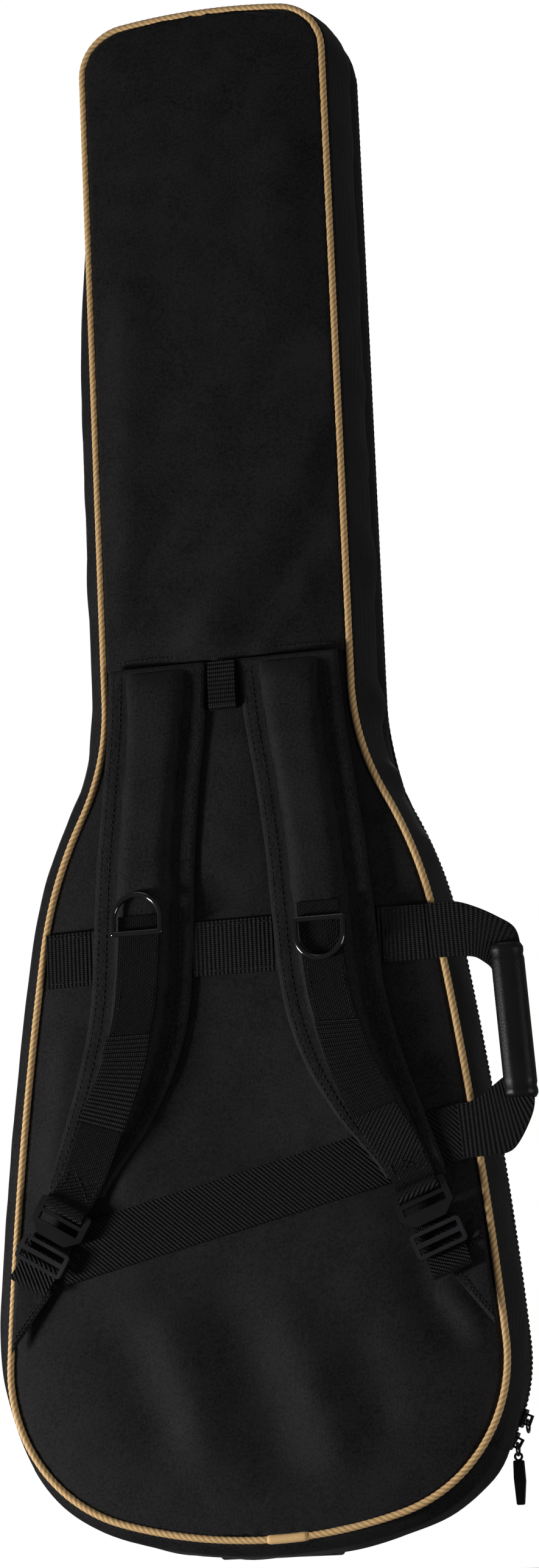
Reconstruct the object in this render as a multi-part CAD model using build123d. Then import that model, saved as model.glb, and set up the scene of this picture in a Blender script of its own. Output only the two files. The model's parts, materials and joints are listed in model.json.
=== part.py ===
"""Padded gig bag for an electric guitar, seen from its carrying side.

Millimetres. While it is being shaped the bag stands in "bag" coordinates:
x to the right as seen from the carrying side, y from the carrying side (-y)
to the pocket side (+y) with 0 half way through, z up from the foot.
export() then moves every piece so that the row's origin is the middle of
the hang loop, which is what holds the bag up.
"""
from build123d import *
from math import asin, cos, degrees, hypot, radians, sin
import os

# ---- driving dimensions -------------------------------------------------
HEIGHT = 1080.0            # foot to head, along the piping
DEPTH = 92.0               # between the two pipings
CROWN = 5.0                # how far the padded panels stand out of the piping
BULGE = 4.0                # how far the side wall bows out half way through

# right half of the outline from the foot to the head: (radius, sweep in degrees)
FOOT = (344.7, 16.4)
CORNER_LOW = (107.6, 37.6)     # below the seam of the bottom piece
CORNER_HIGH = (107.6, 40.1)    # above it, where the zip starts
FLANK = (3000.0, 5.5)
SHOULDER = (293.6, 18.6)
HOLLOW = (-172.0, 28.2)        # negative: bends the other way
HEAD_CORNER = (34.0, 82.9)

SKIN = 1.2                 # outer cloth of the side wall
WALL_FOAM = 8.0            # foam of the side wall
LINING = 0.8
PANEL_FOAM = 10.0          # foam of the two panels
PANEL_SKIN = 1.5
WALL = SKIN + WALL_FOAM + LINING

ZIP_Y = 16.0               # the closed zip lies in this plane
TEETH_GAP = 0.4            # between the two rows of teeth
TAPE = 6.5                 # each tape's width
SKIN_TO_ZIP = 2.5          # the skin stops this far from the zip's middle
PIPING_R = 2.5
PIPING_OUT = 0.8           # the piping's middle stands this far out of the outline
EDGE = 1.9                 # panels stop this far inside the outline, beside the piping
SEAM = PIPING_R + 0.1      # side wall cloth stops this far from the piping's plane
CROWN_SLOPE = 14.0         # width of the slope from a panel's edge to its crown

HEM_Z = 604.0              # lower edge of the upper back cover
WEBBING = 2.0              # thickness of the wide carrying webbing
BAND = 38.0                # its width
STRAP_WEBBING = 30.0
THIN = 1.5                 # thickness of the strap webbing

BACK = -DEPTH / 2          # plane of the back piping
FRONT = DEPTH / 2          # plane of the front piping
BACK_FACE = BACK - CROWN
FRONT_FACE = FRONT + CROWN
BAND_OUT = BACK_FACE - 0.1 - WEBBING

STRAP_GAP = 1.4            # strap to carrying webbing
STRAP_BASE = 2.5
STRAP_PAD = 9.0
BASE_Y = BAND_OUT - STRAP_GAP          # back of the strap
PAD_Y = BASE_Y - STRAP_BASE
STRAP_FACE = PAD_Y - STRAP_PAD
RING_Z = 414.5             # height of the D-rings' bars
RING_WIRE = 2.0
LOOP_R = 3.6               # outside of the webbing loop round a bar
RUNNING = 0.06             # clearance of a bar in its webbing loop

HANG_Z = 586.0
HANG_GAP = 5.2             # between the two layers of the hang loop
HANG_THICK = 1.6
HANG_Y = BACK_FACE - 1.0 - HANG_THICK - HANG_GAP / 2

PARTS = {}


def export(name, shape):
    """Keep a finished piece under its node's name, in the row's frame."""
    PARTS[name] = shape.moved(Location((0, -HANG_Y, -HANG_Z)))


# ---- the outline --------------------------------------------------------
class Leg:
    """One stretch of the outline: an arc (radius, sweep) or a straight length."""

    def __init__(self, start, heading, radius, amount):
        self.start = start
        self.heading = heading
        self.radius = radius
        self.amount = amount
        h = radians(heading)
        self.tangent = (cos(h), sin(h))
        self.normal = (sin(h), -cos(h))
        if radius is None:
            self.end = (start[0] + amount * cos(h), start[1] + amount * sin(h))
            self.end_heading = heading
        else:
            self.centre = (start[0] - radius * sin(h), start[1] + radius * cos(h))
            self.turn = amount if radius > 0 else -amount
            self.end = self.at(1.0, 0.0)
            self.end_heading = heading + self.turn

    def at(self, part, offset):
        """Point at a fraction of the leg, moved outwards by offset."""
        if self.radius is None:
            t = self.amount * part
            return (self.start[0] + t * self.tangent[0] + offset * self.normal[0],
                    self.start[1] + t * self.tangent[1] + offset * self.normal[1])
        h = radians(self.heading + self.turn * part)
        reach = self.radius + offset
        return (self.centre[0] + reach * sin(h), self.centre[1] - reach * cos(h))

    def edge(self, offset, y):
        a = Vector(self.at(0, offset)[0], y, self.at(0, offset)[1])
        b = Vector(self.at(1, offset)[0], y, self.at(1, offset)[1])
        if self.radius is None:
            return Edge.make_line(a, b)
        m = self.at(0.5, offset)
        return Edge.make_three_point_arc(a, Vector(m[0], y, m[1]), b)

    def sweep(self, profile):
        """Carry a profile, drawn as (outwards, y), along the leg."""
        plane = Plane(
            origin=(self.start[0], 0, self.start[1]),
            x_dir=(self.normal[0], 0, self.normal[1]),
            z_dir=(self.tangent[0], 0, self.tangent[1]),
        )
        face = plane * profile
        if self.radius is None:
            direction = Vector(self.tangent[0], 0, self.tangent[1])
            return extrude(face, amount=self.amount, dir=direction)
        side = -1 if self.turn > 0 else 1
        axis = Axis((self.centre[0], 0, self.centre[1]), (0, side, 0))
        return revolve(face, axis=axis, revolution_arc=abs(self.turn))


def outline():
    """The whole outline, from the foot's middle round to it again."""
    half = [FOOT, CORNER_LOW, CORNER_HIGH, FLANK, SHOULDER, HOLLOW]
    legs = []
    at = (0.0, 0.0)
    heading = 0.0
    for radius, amount in half:
        legs.append(Leg(at, heading, radius, amount))
        at, heading = legs[-1].end, legs[-1].end_heading
    corner_r, corner_turn = HEAD_CORNER
    top_turn = 90.0 - corner_turn
    reach = at[0] - corner_r * (1 - cos(radians(corner_turn)))
    top_r = reach / sin(radians(top_turn))
    rise = corner_r * sin(radians(corner_turn)) + top_r * (1 - cos(radians(top_turn)))
    neck = HEIGHT - rise - at[1]
    for radius, amount in ((None, neck), HEAD_CORNER, (top_r, top_turn)):
        legs.append(Leg(at, heading, radius, amount))
        at, heading = legs[-1].end, legs[-1].end_heading
    for leg in list(reversed(legs)):
        legs.append(Leg(at, heading, leg.radius, leg.amount))
        at, heading = legs[-1].end, legs[-1].end_heading
    return legs


LEGS = outline()
BOTTOM = LEGS[-2:] + LEGS[:2]          # seam to seam across the foot
AROUND = LEGS[2:-2]                    # seam to seam over the head
TOOTHED = LEGS[2:-4]                   # where the zip has teeth
CORNER = LEGS[1].centre                # centre of the lower right corner's arc


def plate(offset, y0, y1, legs=None):
    """A flat piece of the outline's shape between two depths."""
    face = Face(Wire([leg.edge(offset, y0) for leg in (legs or LEGS)]))
    return extrude(face, amount=y1 - y0, dir=(0, 1, 0))


def crowned(y_edge, y_face, inset):
    """A panel that slopes from its edge up to a flat crown."""
    low = Face(Wire([leg.edge(-EDGE, y_edge) for leg in LEGS]))
    high = Face(Wire([leg.edge(-inset, y_face) for leg in LEGS]))
    return Solid.make_loft([low.outer_wire(), high.outer_wire()], True)


def bow(y):
    """How far the side wall stands out of the outline at a depth."""
    radius = ((DEPTH / 2) ** 2 + BULGE**2) / (2 * BULGE)
    return BULGE - radius + (radius**2 - y**2) ** 0.5


def layer(y0, y1, outer, inner):
    """Profile of one layer of the side wall: outer and inner are depths below its face."""
    middle = (y0 + y1) / 2
    with BuildSketch() as sketch:
        with BuildLine():
            ThreePointArc((bow(y0) - outer, y0), (bow(middle) - outer, middle), (bow(y1) - outer, y1))
            Line((bow(y1) - outer, y1), (bow(y1) - inner, y1))
            ThreePointArc((bow(y1) - inner, y1), (bow(middle) - inner, middle), (bow(y0) - inner, y0))
            Line((bow(y0) - inner, y0), (bow(y0) - outer, y0))
        make_face()
    return sketch.sketch


def band(legs, profile):
    """One solid from a profile carried along neighbouring legs."""
    pieces = [leg.sweep(profile) for leg in legs]
    solid = pieces[0]
    for piece in pieces[1:]:
        solid = solid + piece
    return solid


def box(x0, x1, y0, y1, z0, z1):
    return Pos((x0 + x1) / 2, (y0 + y1) / 2, (z0 + z1) / 2) * Box(x1 - x0, y1 - y0, z1 - z0)


def slab(points, y0, y1, round_to=0.0):
    """A flat polygon in (x, z) between two depths, its corners rounded."""
    corners = [Vector(x, y0, z) for x, z in points]
    wire = Wire.make_polygon(corners, close=True)
    face = Face(wire.fillet_2d(round_to, wire.vertices()) if round_to else wire)
    return extrude(face, amount=abs(y1 - y0), dir=(0, 1 if y1 > y0 else -1, 0))


def ribbon(rows, y0, y1):
    """A flat strap through rows of (z, centre x, width), between two depths."""
    left = [Vector(x - w / 2, y0, z) for z, x, w in rows]
    right = [Vector(x + w / 2, y0, z) for z, x, w in rows]
    edges = [
        Edge.make_spline(left),
        Edge.make_line(left[-1], right[-1]),
        Edge.make_spline(right[::-1]),
        Edge.make_line(right[0], left[0]),
    ]
    return extrude(Face(Wire(edges)), amount=abs(y1 - y0), dir=(0, 1 if y1 > y0 else -1, 0))


# ---- back of the shell --------------------------------------------------
def make_back():
    skin_inner = BACK + PANEL_SKIN
    panel = plate(-EDGE, BACK, skin_inner) + crowned(BACK, BACK_FACE + 0.7, CROWN_SLOPE)
    high = box(-200, 200, BACK_FACE - 2, skin_inner + 1, HEM_Z + 10, HEIGHT + 10)
    export("back_lower_panel", panel - high)
    cover = plate(-EDGE, BACK, skin_inner) + crowned(BACK, BACK_FACE, CROWN_SLOPE)
    low = box(-200, 200, BACK_FACE - 3, skin_inner + 1, -10, HEM_Z + 10)
    flap = box(-72, 72, BACK_FACE - 0.6, BACK_FACE + 0.6, HEM_Z, HEM_Z + 14)
    export("back_upper_panel", (cover - low) + flap)
    foam_out = skin_inner + PANEL_FOAM
    export("back_foam", plate(-WALL - 0.8, skin_inner, foam_out))
    export("back_lining", plate(-WALL - 0.8, foam_out, foam_out + LINING))
    piping = Pos(PIPING_OUT, BACK) * Circle(PIPING_R)
    export("back_piping", band(LEGS, piping))
    cover_ring = Pos(PIPING_OUT, BACK) * (Circle(PIPING_R + 1.0) - Circle(PIPING_R))
    cover_ring -= Pos(-3, BACK + 3) * Rectangle(12, 10)
    foot = LEGS[0]
    splice = Leg(foot.at(0.03, 0), FOOT[1] * 0.03, FOOT[0], FOOT[1] * 0.27)
    export("piping_splice_cover", splice.sweep(cover_ring))


def make_side_wall():
    y0 = BACK + SEAM
    y1 = ZIP_Y - SKIN_TO_ZIP
    foam_end = ZIP_Y - TAPE - 0.1
    export("gusset_skin", band(AROUND, layer(y0, y1, 0, SKIN)))
    export("gusset_foam", band(AROUND, layer(y0, foam_end, SKIN, SKIN + WALL_FOAM)))
    export("gusset_lining", band(AROUND, layer(y0, foam_end, SKIN + WALL_FOAM, WALL)))
    y2 = FRONT - SEAM - 0.4
    export("bottom_gusset_skin", band(BOTTOM, layer(y0, y2, 0, SKIN)))
    export("bottom_gusset_foam", band(BOTTOM, layer(y0, y2, SKIN, WALL)))


def make_zip():
    half_gap = TEETH_GAP / 2
    top = SKIN + 0.1
    export("zip_tape_back", band(AROUND, layer(ZIP_Y - TAPE, ZIP_Y - 0.5, top, top + 1.0)))
    export("zip_tape_front", band(AROUND, layer(ZIP_Y + 0.5, ZIP_Y + TAPE, top, top + 1.0)))
    export("zip_teeth_back", band(TOOTHED, layer(ZIP_Y - 1.5, ZIP_Y - half_gap, 0, top)))
    export("zip_teeth_front", band(TOOTHED, layer(ZIP_Y + half_gap, ZIP_Y + 1.5, 0, top)))


# ---- lid: the front half ------------------------------------------------
def make_lid():
    skin_inner = FRONT - PANEL_SKIN
    export("front_panel", plate(-EDGE, skin_inner, FRONT) + crowned(FRONT, FRONT_FACE, CROWN_SLOPE))
    export("front_foam", plate(-WALL - 4, skin_inner - PANEL_FOAM, skin_inner))
    export("front_lining", plate(-WALL - 4, skin_inner - PANEL_FOAM - LINING, skin_inner - PANEL_FOAM))
    export("front_piping", band(LEGS, Pos(PIPING_OUT, FRONT) * Circle(PIPING_R)))
    y0 = ZIP_Y + SKIN_TO_ZIP
    foam_start = ZIP_Y + TAPE + 0.1
    export("lid_gusset_skin", band(AROUND, layer(y0, FRONT - SEAM, 0, SKIN)))
    export("lid_gusset_foam", band(AROUND, layer(foam_start, FRONT - SEAM, SKIN, WALL)))


POCKET_THICK = 14.0


def pocket(rows, name, zip_z, zip_half):
    """A flat pocket on the lid with its zip let into the top edge of its face."""
    y0 = FRONT_FACE + 0.1
    y1 = y0 + POCKET_THICK
    body = ribbon(rows, y0, y1)
    edges = body.faces().sort_by(Axis.Y)[-1].edges()
    body = chamfer(edges, 4.0)
    groove = box(-zip_half - 12, zip_half + 12, y1 - 1.2, y1 + 1, zip_z - 9, zip_z + 9)
    export(name + "_pocket", body - groove)
    tape_y = y1 - 1.1
    tape = box(-zip_half - 11.5, zip_half + 11.5, tape_y, tape_y + 0.8, zip_z - 8.5, zip_z + 8.5)
    teeth = box(-zip_half - 10, zip_half + 10, tape_y + 0.8, tape_y + 2.2, zip_z - 2.2, zip_z + 2.2)
    export(name + "_pocket_zip", tape + teeth)
    slider_y = tape_y + 2.2 + 0.3
    slider, pull = slider_and_pull()
    place = Location((zip_half - 4, slider_y, zip_z))
    export(name + "_pocket_slider", slider.moved(place))
    export(name + "_pocket_pull", pull.moved(place))


def slider_and_pull():
    """A small slider facing +y at the origin, travelling along x, and its hanging pull."""
    plate_ = Pos(0, 0.9, 0) * Box(12, 1.8, 8.5)
    plate_ = fillet(plate_.edges().filter_by(Axis.Y), 2.5)
    arch = Pos(0, 3.2, 0) * Box(1.6, 3.2, 5.0) - Pos(0, 3.0, 0) * Box(3, 1.9, 2.6)
    body = plate_ + arch
    eye = Pos(0, 3.0, -1.6) * Rot(0, 0, 0) * Box(4.4, 1.3, 5.0)
    eye = eye - Pos(0, 3.0, -1.55) * Box(2.4, 3, 3.0)
    tab = Pos(0, 3.0, -16.0) * Box(7.0, 1.8, 24.0)
    tab = fillet(tab.edges().filter_by(Axis.Y), 2.0)
    return body, eye + tab


BODY_POCKET = [(92, 0, 236), (130, 0, 292), (220, 0, 300), (330, 0, 270), (418, 0, 214)]
NECK_POCKET = [(640, 0, 132), (760, 0, 134), (880, 0, 134), (1000, 0, 132)]


# ---- zip sliders of the main zip ---------------------------------------
SLIDER_UPPER = -23.0       # angles round the corner's centre
SLIDER_LOWER = -31.5
SLIDER_LONG = 13.0
RING_REACH = 4.3           # a ring's pivot above the zip
RING_R = 4.2
RING_THICK = 0.8


def at_corner(shape, angle):
    """Stand a piece, drawn with +x outwards and +z along the zip, on the corner's arc."""
    cx, cz = CORNER
    r = CORNER_HIGH[0] + bow(ZIP_Y)
    return shape.moved(Location((cx, ZIP_Y, cz)) * Location((0, 0, 0), (0, -angle, 0)) * Location((r, 0, 0)))


def make_sliders():
    """Curved plate over the teeth, with a bridge that the ring hangs from."""
    for name, angle in (("upper", SLIDER_UPPER), ("lower", SLIDER_LOWER)):
        base = Pos(1.5, 0, 0) * Box(1.8, 10.0, SLIDER_LONG)
        base = fillet(base.edges().filter_by(Axis.X), 3.0)
        bridge = Pos(4.8, 0, 0) * Box(5.2, 2.4, 8.0) - Pos(RING_REACH, 0, 0) * Box(2.8, 4, 5.2)
        export("zip_slider_" + name, at_corner(base + bridge, angle))
    for name, angle in (("upper", SLIDER_UPPER), ("lower", SLIDER_LOWER)):
        pivot = ring_pivot(angle)
        ring = Pos(pivot.X, pivot.Y, pivot.Z - RING_R) * Rot(0, 90, 0) * Torus(RING_R, RING_THICK)
        export("zip_ring_" + name, ring)
    pivot = ring_pivot(SLIDER_LOWER)
    eye_z = pivot.Z - 2 * RING_R - 0.7
    eye = Pos(pivot.X, pivot.Y, eye_z) * Rot(90, 0, 0) * (Cylinder(3.0, 2.4) - Cylinder(1.75, 5.0))
    tab = slab([(-3.6, 0), (3.6, 0), (4.2, -14), (2.6, -30), (-2.6, -30), (-3.8, -12)], -1.6, 1.6, 1.2)
    export("zip_pull_tab", eye + tab.moved(Location((pivot.X, pivot.Y, eye_z - 2.4))))


def ring_pivot(angle):
    """Inside of the bridge, where its ring hangs."""
    cx, cz = CORNER
    r = CORNER_HIGH[0] + bow(ZIP_Y) + RING_REACH
    a = radians(angle)
    return Vector(cx + r * cos(a), ZIP_Y, cz + r * sin(a))


# ---- carrying webbing and the side handle -------------------------------
HINGE_TOP = (150.5, 404.0)         # where the handle's fold line crosses the upper webbing
HINGE_LOW = (165.5, 265.0)         # and the lower webbing
HINGE_Y = BAND_OUT + WEBBING / 2
GRIP_TOP = (190.0, 389.0)
GRIP_LOW = (195.5, 285.0)
GRIP_R = 11.5
LEG_GAP = 3.0                      # legs start this far out of the fold line


def fold_x(z):
    """Where the handle's slanted fold line lies at a height."""
    slope = (HINGE_LOW[0] - HINGE_TOP[0]) / (HINGE_TOP[1] - HINGE_LOW[1])
    return HINGE_TOP[0] + slope * (HINGE_TOP[1] - z)


def make_carrying_webbing():
    """Two bands sewn across the back, each ending just short of the handle's fold."""
    y0 = BACK_FACE - 0.1
    low, high = 383.0, 383.0 + BAND
    upper = [(-136, low), (fold_x(low) - LEG_GAP, low), (fold_x(high) - LEG_GAP, high), (-136, high)]
    export("upper_webbing_band", slab(upper, y0, y0 - WEBBING))
    low, high = 246.0, 246.0 + BAND
    lower = [(-157, 170), (fold_x(low) - LEG_GAP, low), (fold_x(high) - LEG_GAP, high), (-165, 207)]
    export("lower_webbing_band", slab(lower, y0, y0 - WEBBING))


def make_handle():
    """Webbing legs that turn down into a soft wrapped grip, all in one plane."""
    y0, y1 = HINGE_Y + 1.2, HINGE_Y - 1.2
    out = LEG_GAP
    upper = [(fold_x(421) + out, 421), (174, 413), (196, 400), (201, 385), (178, 383), (fold_x(385) + out, 385)]
    lower = [(fold_x(283) + out, 283), (186, 290), (207, 288), (206, 268), (190, 248), (fold_x(247) + out, 247)]
    dx, dz = GRIP_LOW[0] - GRIP_TOP[0], GRIP_LOW[1] - GRIP_TOP[1]
    length = hypot(dx, dz)
    tilt = degrees(asin(dx / length))
    middle = ((GRIP_TOP[0] + GRIP_LOW[0]) / 2, (GRIP_TOP[1] + GRIP_LOW[1]) / 2)
    place = Location((middle[0], HINGE_Y, middle[1])) * Location((0, 0, 0), (0, -tilt, 0))
    core = Box(18.0, y0 - y1, length + 6).moved(place)
    webbing = slab(upper, y0, y1, 4.0) + slab(lower, y0, y1, 4.0) + core
    grip = Cylinder(GRIP_R, length)
    grip = fillet(grip.edges(), 2.5)
    export("handle_webbing", webbing)
    export("handle_grip", grip.moved(place) - webbing)


# ---- shoulder straps ----------------------------------------------------
STRAP = [(602, 47, 72), (512, 56, 70), (426, 64, 72), (366, 69, 72), (322, 80, 70), (284, 96, 62), (256, 111, 50),
         (238, 120, 42)]
PAD = [(592, 45, 46), (512, 56, 44), (426, 64, 46), (366, 69, 46), (322, 80, 44), (284, 96, 36), (262, 107, 28)]
LOCKS = {"left": (-131.0, 219.0, 31.0), "right": (127.0, 217.0, 21.0)}   # x, z, lean
LOCK_WIDE = 40.0
LOCK_THICK = 5.0
LOCK_Y = PAD_Y - 3.4
BAR_UP = 11.0              # the lock's top bar above its middle
ANCHOR = [(140, 172), (165.5, 204), (172.5, 131)]


def mirrored(rows, side):
    return [(z, side * x, w) for z, x, w in rows]


def on_lock(shape, name):
    """Place a piece drawn round a lock's middle, with -z towards the anchor."""
    x, z, lean = LOCKS[name]
    turn = lean if x < 0 else -lean
    return shape.moved(Location((x, LOCK_Y, z)) * Location((0, 0, 0), (0, turn, 0)))


def make_strap(name, side):
    pad = ribbon(mirrored(PAD, side), PAD_Y, STRAP_FACE)
    pad = chamfer(pad.faces().sort_by(Axis.Y)[0].edges(), 4.0)
    export("strap_pad_" + name, pad)
    ring = (RING_Z + 3.0, 65.0, STRAP_WEBBING)
    rows = [ring] + [(z, x, STRAP_WEBBING) for z, x, _ in PAD if z < RING_Z]
    webbing = ribbon(mirrored(rows, side), STRAP_FACE - 0.05, STRAP_FACE - THIN - 0.05)
    loop_y = STRAP_FACE - LOOP_R - 1.0
    loop = Cylinder(LOOP_R, STRAP_WEBBING - 2) - Cylinder(RING_WIRE + RUNNING, STRAP_WEBBING)
    loop = loop.moved(Location((side * 65.0, loop_y, RING_Z)) * Location((0, 0, 0), (0, 90, 0)))
    webbing = webbing - Cylinder(RING_WIRE + RUNNING, STRAP_WEBBING + 4).moved(
        Location((side * 65.0, loop_y, RING_Z)) * Location((0, 0, 0), (0, 90, 0)))
    webbing = webbing + lock_end(name) - pad
    webbing = webbing + loop
    export("strap_webbing_" + name, webbing)
    export("strap_base_" + name, ribbon(mirrored(STRAP, side), BASE_Y, PAD_Y) - webbing)
    make_d_ring(name, side, loop_y)
    make_lock(name)


def lock_end(name):
    """The webbing's flat end below the pad, turned round the ladder lock's top bar."""
    top = PAD_Y - LOCK_Y - 0.05
    flat = box(-14.5, 14.5, top - THIN, top, BAR_UP + 3.6, 50.0)
    step = box(-14.5, 14.5, top - THIN - STRAP_PAD, top, 50.0 - THIN, 50.0)
    turn = Cylinder(4.8, 29) - Cylinder(3.3, 30)
    turn = turn.moved(Location((0, 0, BAR_UP)) * Location((0, 0, 0), (0, 90, 0)))
    return on_lock(flat + step + turn, name)


def make_d_ring(name, side, y):
    """Wire ring with a straight bar; it hangs, except that the left one is turned up."""
    half, shank = 17.0, 10.0
    hoop = Rot(90, 0, 0) * Torus(half, RING_WIRE)
    lower_half = Pos(0, 0, -half) * Box(4 * half, 4 * RING_WIRE, 2 * half)
    ring = Pos(0, 0, -shank) * (hoop & lower_half)
    for x in (-half, half):
        ring = ring + Pos(x, 0, -shank / 2) * Cylinder(RING_WIRE, shank)
        ring = ring + Pos(x, 0, 0) * Sphere(RING_WIRE)
    ring = ring + Rot(0, 90, 0) * Cylinder(RING_WIRE, 2 * half)
    turn = 176.0 if name == "left" else 0.0
    export("d_ring_" + name, ring.moved(Location((side * 65.0, y, RING_Z)) * Location((0, 0, 0), (turn, 0, 0))))


def make_lock(name):
    """Ladder lock, the slide that keeps the webbing's tail, and the webbing down to the anchor."""
    half = LOCK_WIDE / 2
    shape = [(-half, 13), (half, 13), (half, -5), (half - 9, -13), (-half + 9, -13), (-half, -5)]
    body = slab(shape, LOCK_THICK / 2, -LOCK_THICK / 2, 2.5)
    slots = box(-15.6, 15.6, -5, 5, 4.4, BAR_UP - 2) + box(-15.6, 15.6, -5, 5, -3.6, 1.6)
    export("ladder_lock_" + name, on_lock(body - slots, name))
    slide = box(-18.5, 18.5, -1.8, 1.8, -34.5, -16.5)
    slide = fillet(slide.edges().filter_by(Axis.Y), 3.0)
    slide = slide - box(-15.6, 15.6, -4, 4, -23.8, -19.2) - box(-15.6, 15.6, -4, 4, -31.8, -27.2)
    export("webbing_slide_" + name, on_lock(Pos(0, -1.2, 0) * slide, name))
    end = box(-15, 15, 3.1, 3.1 + THIN, -42.0, -15.0)
    export("lower_webbing_" + name, on_lock(end, name))
    side = -1 if name == "left" else 1
    patch = slab([(side * x, z) for x, z in ANCHOR], BAND_OUT - 0.1, BAND_OUT - 0.1 - THIN)
    export("anchor_patch_" + name, patch)


# ---- small pieces of the shell ------------------------------------------
def make_hang_loop():
    half = 10.0
    inner = HANG_Y + HANG_GAP / 2
    outer = HANG_Y - HANG_GAP / 2
    layers = box(-half, half, inner, inner + HANG_THICK, HANG_Z - 14, HEM_Z - 0.5)
    layers += box(-half, half, outer - HANG_THICK, outer, HANG_Z - 14, HEM_Z - 4)
    turn = Cylinder(HANG_GAP / 2 + HANG_THICK, 2 * half) - Cylinder(HANG_GAP / 2, 2 * half)
    turn = turn.moved(Location((0, HANG_Y, HANG_Z - 14)) * Location((0, 0, 0), (0, 90, 0)))
    turn = turn - box(-20, 20, HANG_Y - 10, HANG_Y + 10, HANG_Z - 14, HANG_Z + 10)
    head = box(-half, half, outer - HANG_THICK, inner + HANG_THICK, HEM_Z - 4, HEM_Z - 0.5)
    export("hang_loop", layers + turn + head)


def make_bottom_guard():
    bar = box(-42, 42, -4, 12, -13.0, -4.2)
    bar = fillet(bar.edges().filter_by(Axis.Y).sort_by(Axis.Z)[:2], 3.0)
    foot = LEGS[0]
    saddle = Cylinder(FOOT[0] + BULGE + 0.3, 40)
    saddle = saddle.moved(Location((foot.centre[0], 4, foot.centre[1])) * Location((0, 0, 0), (90, 0, 0)))
    export("bottom_guard", bar - saddle)


def make_interior():
    back_in = BACK + PANEL_SKIN + PANEL_FOAM + LINING
    rest = box(-72, 72, back_in, back_in + 24, 800, 880)
    groove = Cylinder(40, 100).moved(Location((0, back_in + 50, 840)))
    export("neck_rest", rest - groove)
    export("neck_strap", box(-70, 70, back_in + 24.2, back_in + 25.8, 822, 858))
    cushion = box(-70, 70, back_in, back_in + 56, 16.5, 44)
    export("end_cushion", cushion)


def main():
    make_back()
    make_side_wall()
    make_zip()
    make_lid()
    pocket(BODY_POCKET, "body", 396.0, 84.0)
    pocket(NECK_POCKET, "neck", 968.0, 42.0)
    make_sliders()
    make_carrying_webbing()
    make_handle()
    make_strap("left", -1)
    make_strap("right", 1)
    make_hang_loop()
    make_bottom_guard()
    make_interior()
    os.makedirs("parts", exist_ok=True)
    for name, shape in PARTS.items():
        export_step(shape, "parts/" + name + ".step")


main()
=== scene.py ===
"""Looks for a padded gig bag, laid out as an add-on and run as a script."""
import json
import math

import bmesh
import bpy
from mathutils import Matrix, Vector


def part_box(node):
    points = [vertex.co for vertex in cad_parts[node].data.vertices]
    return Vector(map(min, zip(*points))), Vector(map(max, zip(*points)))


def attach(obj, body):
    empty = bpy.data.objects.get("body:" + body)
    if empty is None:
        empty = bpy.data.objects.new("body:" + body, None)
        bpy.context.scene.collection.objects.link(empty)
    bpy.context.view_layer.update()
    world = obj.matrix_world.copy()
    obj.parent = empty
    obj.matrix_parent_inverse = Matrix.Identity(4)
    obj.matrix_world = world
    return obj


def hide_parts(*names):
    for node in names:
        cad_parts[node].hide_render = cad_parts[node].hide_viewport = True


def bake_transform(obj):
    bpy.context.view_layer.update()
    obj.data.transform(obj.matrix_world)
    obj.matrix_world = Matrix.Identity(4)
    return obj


bl_info = {
    "name": "Padded Gig Bag",
    "version": (1, 0, 0),
    "blender": (4, 5, 0),
    "location": "3D View > Sidebar > Gig Bag",
    "description": "Cloth, webbing, piping and studio of a padded gig bag",
    "category": "Object",
}

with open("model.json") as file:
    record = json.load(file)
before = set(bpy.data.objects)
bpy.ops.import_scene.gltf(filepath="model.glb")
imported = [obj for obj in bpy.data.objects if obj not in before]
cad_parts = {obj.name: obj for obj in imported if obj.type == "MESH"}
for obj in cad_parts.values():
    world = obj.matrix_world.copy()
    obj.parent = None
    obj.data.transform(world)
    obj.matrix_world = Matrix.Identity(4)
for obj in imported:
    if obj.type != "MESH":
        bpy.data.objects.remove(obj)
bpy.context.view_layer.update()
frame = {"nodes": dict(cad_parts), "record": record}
MM = 0.001

# ---- the bag's own measures, in millimetres, and where it stands ---------
PIPE_R = 2.5
PIPE_OUT = 0.8
DEPTH = 92.0
BACK = -DEPTH / 2
FRONT = DEPTH / 2
CROWN = 5.0
BULGE = 4.0
ZIP_Y = 16.0
HEM_Z = 604.0
HEIGHT = 1080.0
HALF = [(344.7, 16.4), (107.6, 37.6), (107.6, 40.1), (3000.0, 5.5), (293.6, 18.6), (-172.0, 28.2)]
HEAD = (34.0, 82.9)
PIPE_LOW, PIPE_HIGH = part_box("back_piping")
Y_SHIFT = (PIPE_LOW[1] + PIPE_HIGH[1]) / 2 - BACK * MM
Z_SHIFT = PIPE_LOW[2] + (PIPE_R + PIPE_OUT) * MM
LEAN = 0.07                 # how far the lid's edge draws in round the body, as a part of its radius
BODY_MIDDLE = 250.0         # height of the body's middle


def smooth(t):
    t = min(max(t, 0.0), 1.0)
    return t * t * (3 - 2 * t)


def row(x, y, z):
    """A point of the bag, in millimetres, in the row's frame; the lid's edge draws in as soft cloth does."""
    lean = LEAN * smooth((y - ZIP_Y - 1.5) / 28.0) * smooth((560.0 - z) / 130.0)
    low = 1.0 if z > BODY_MIDDLE else 0.55
    height = z - low * (z - BODY_MIDDLE) * lean * 0.6
    return Vector((x * (1 - lean) * MM, y * MM + Y_SHIFT, height * MM + Z_SHIFT))


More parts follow.
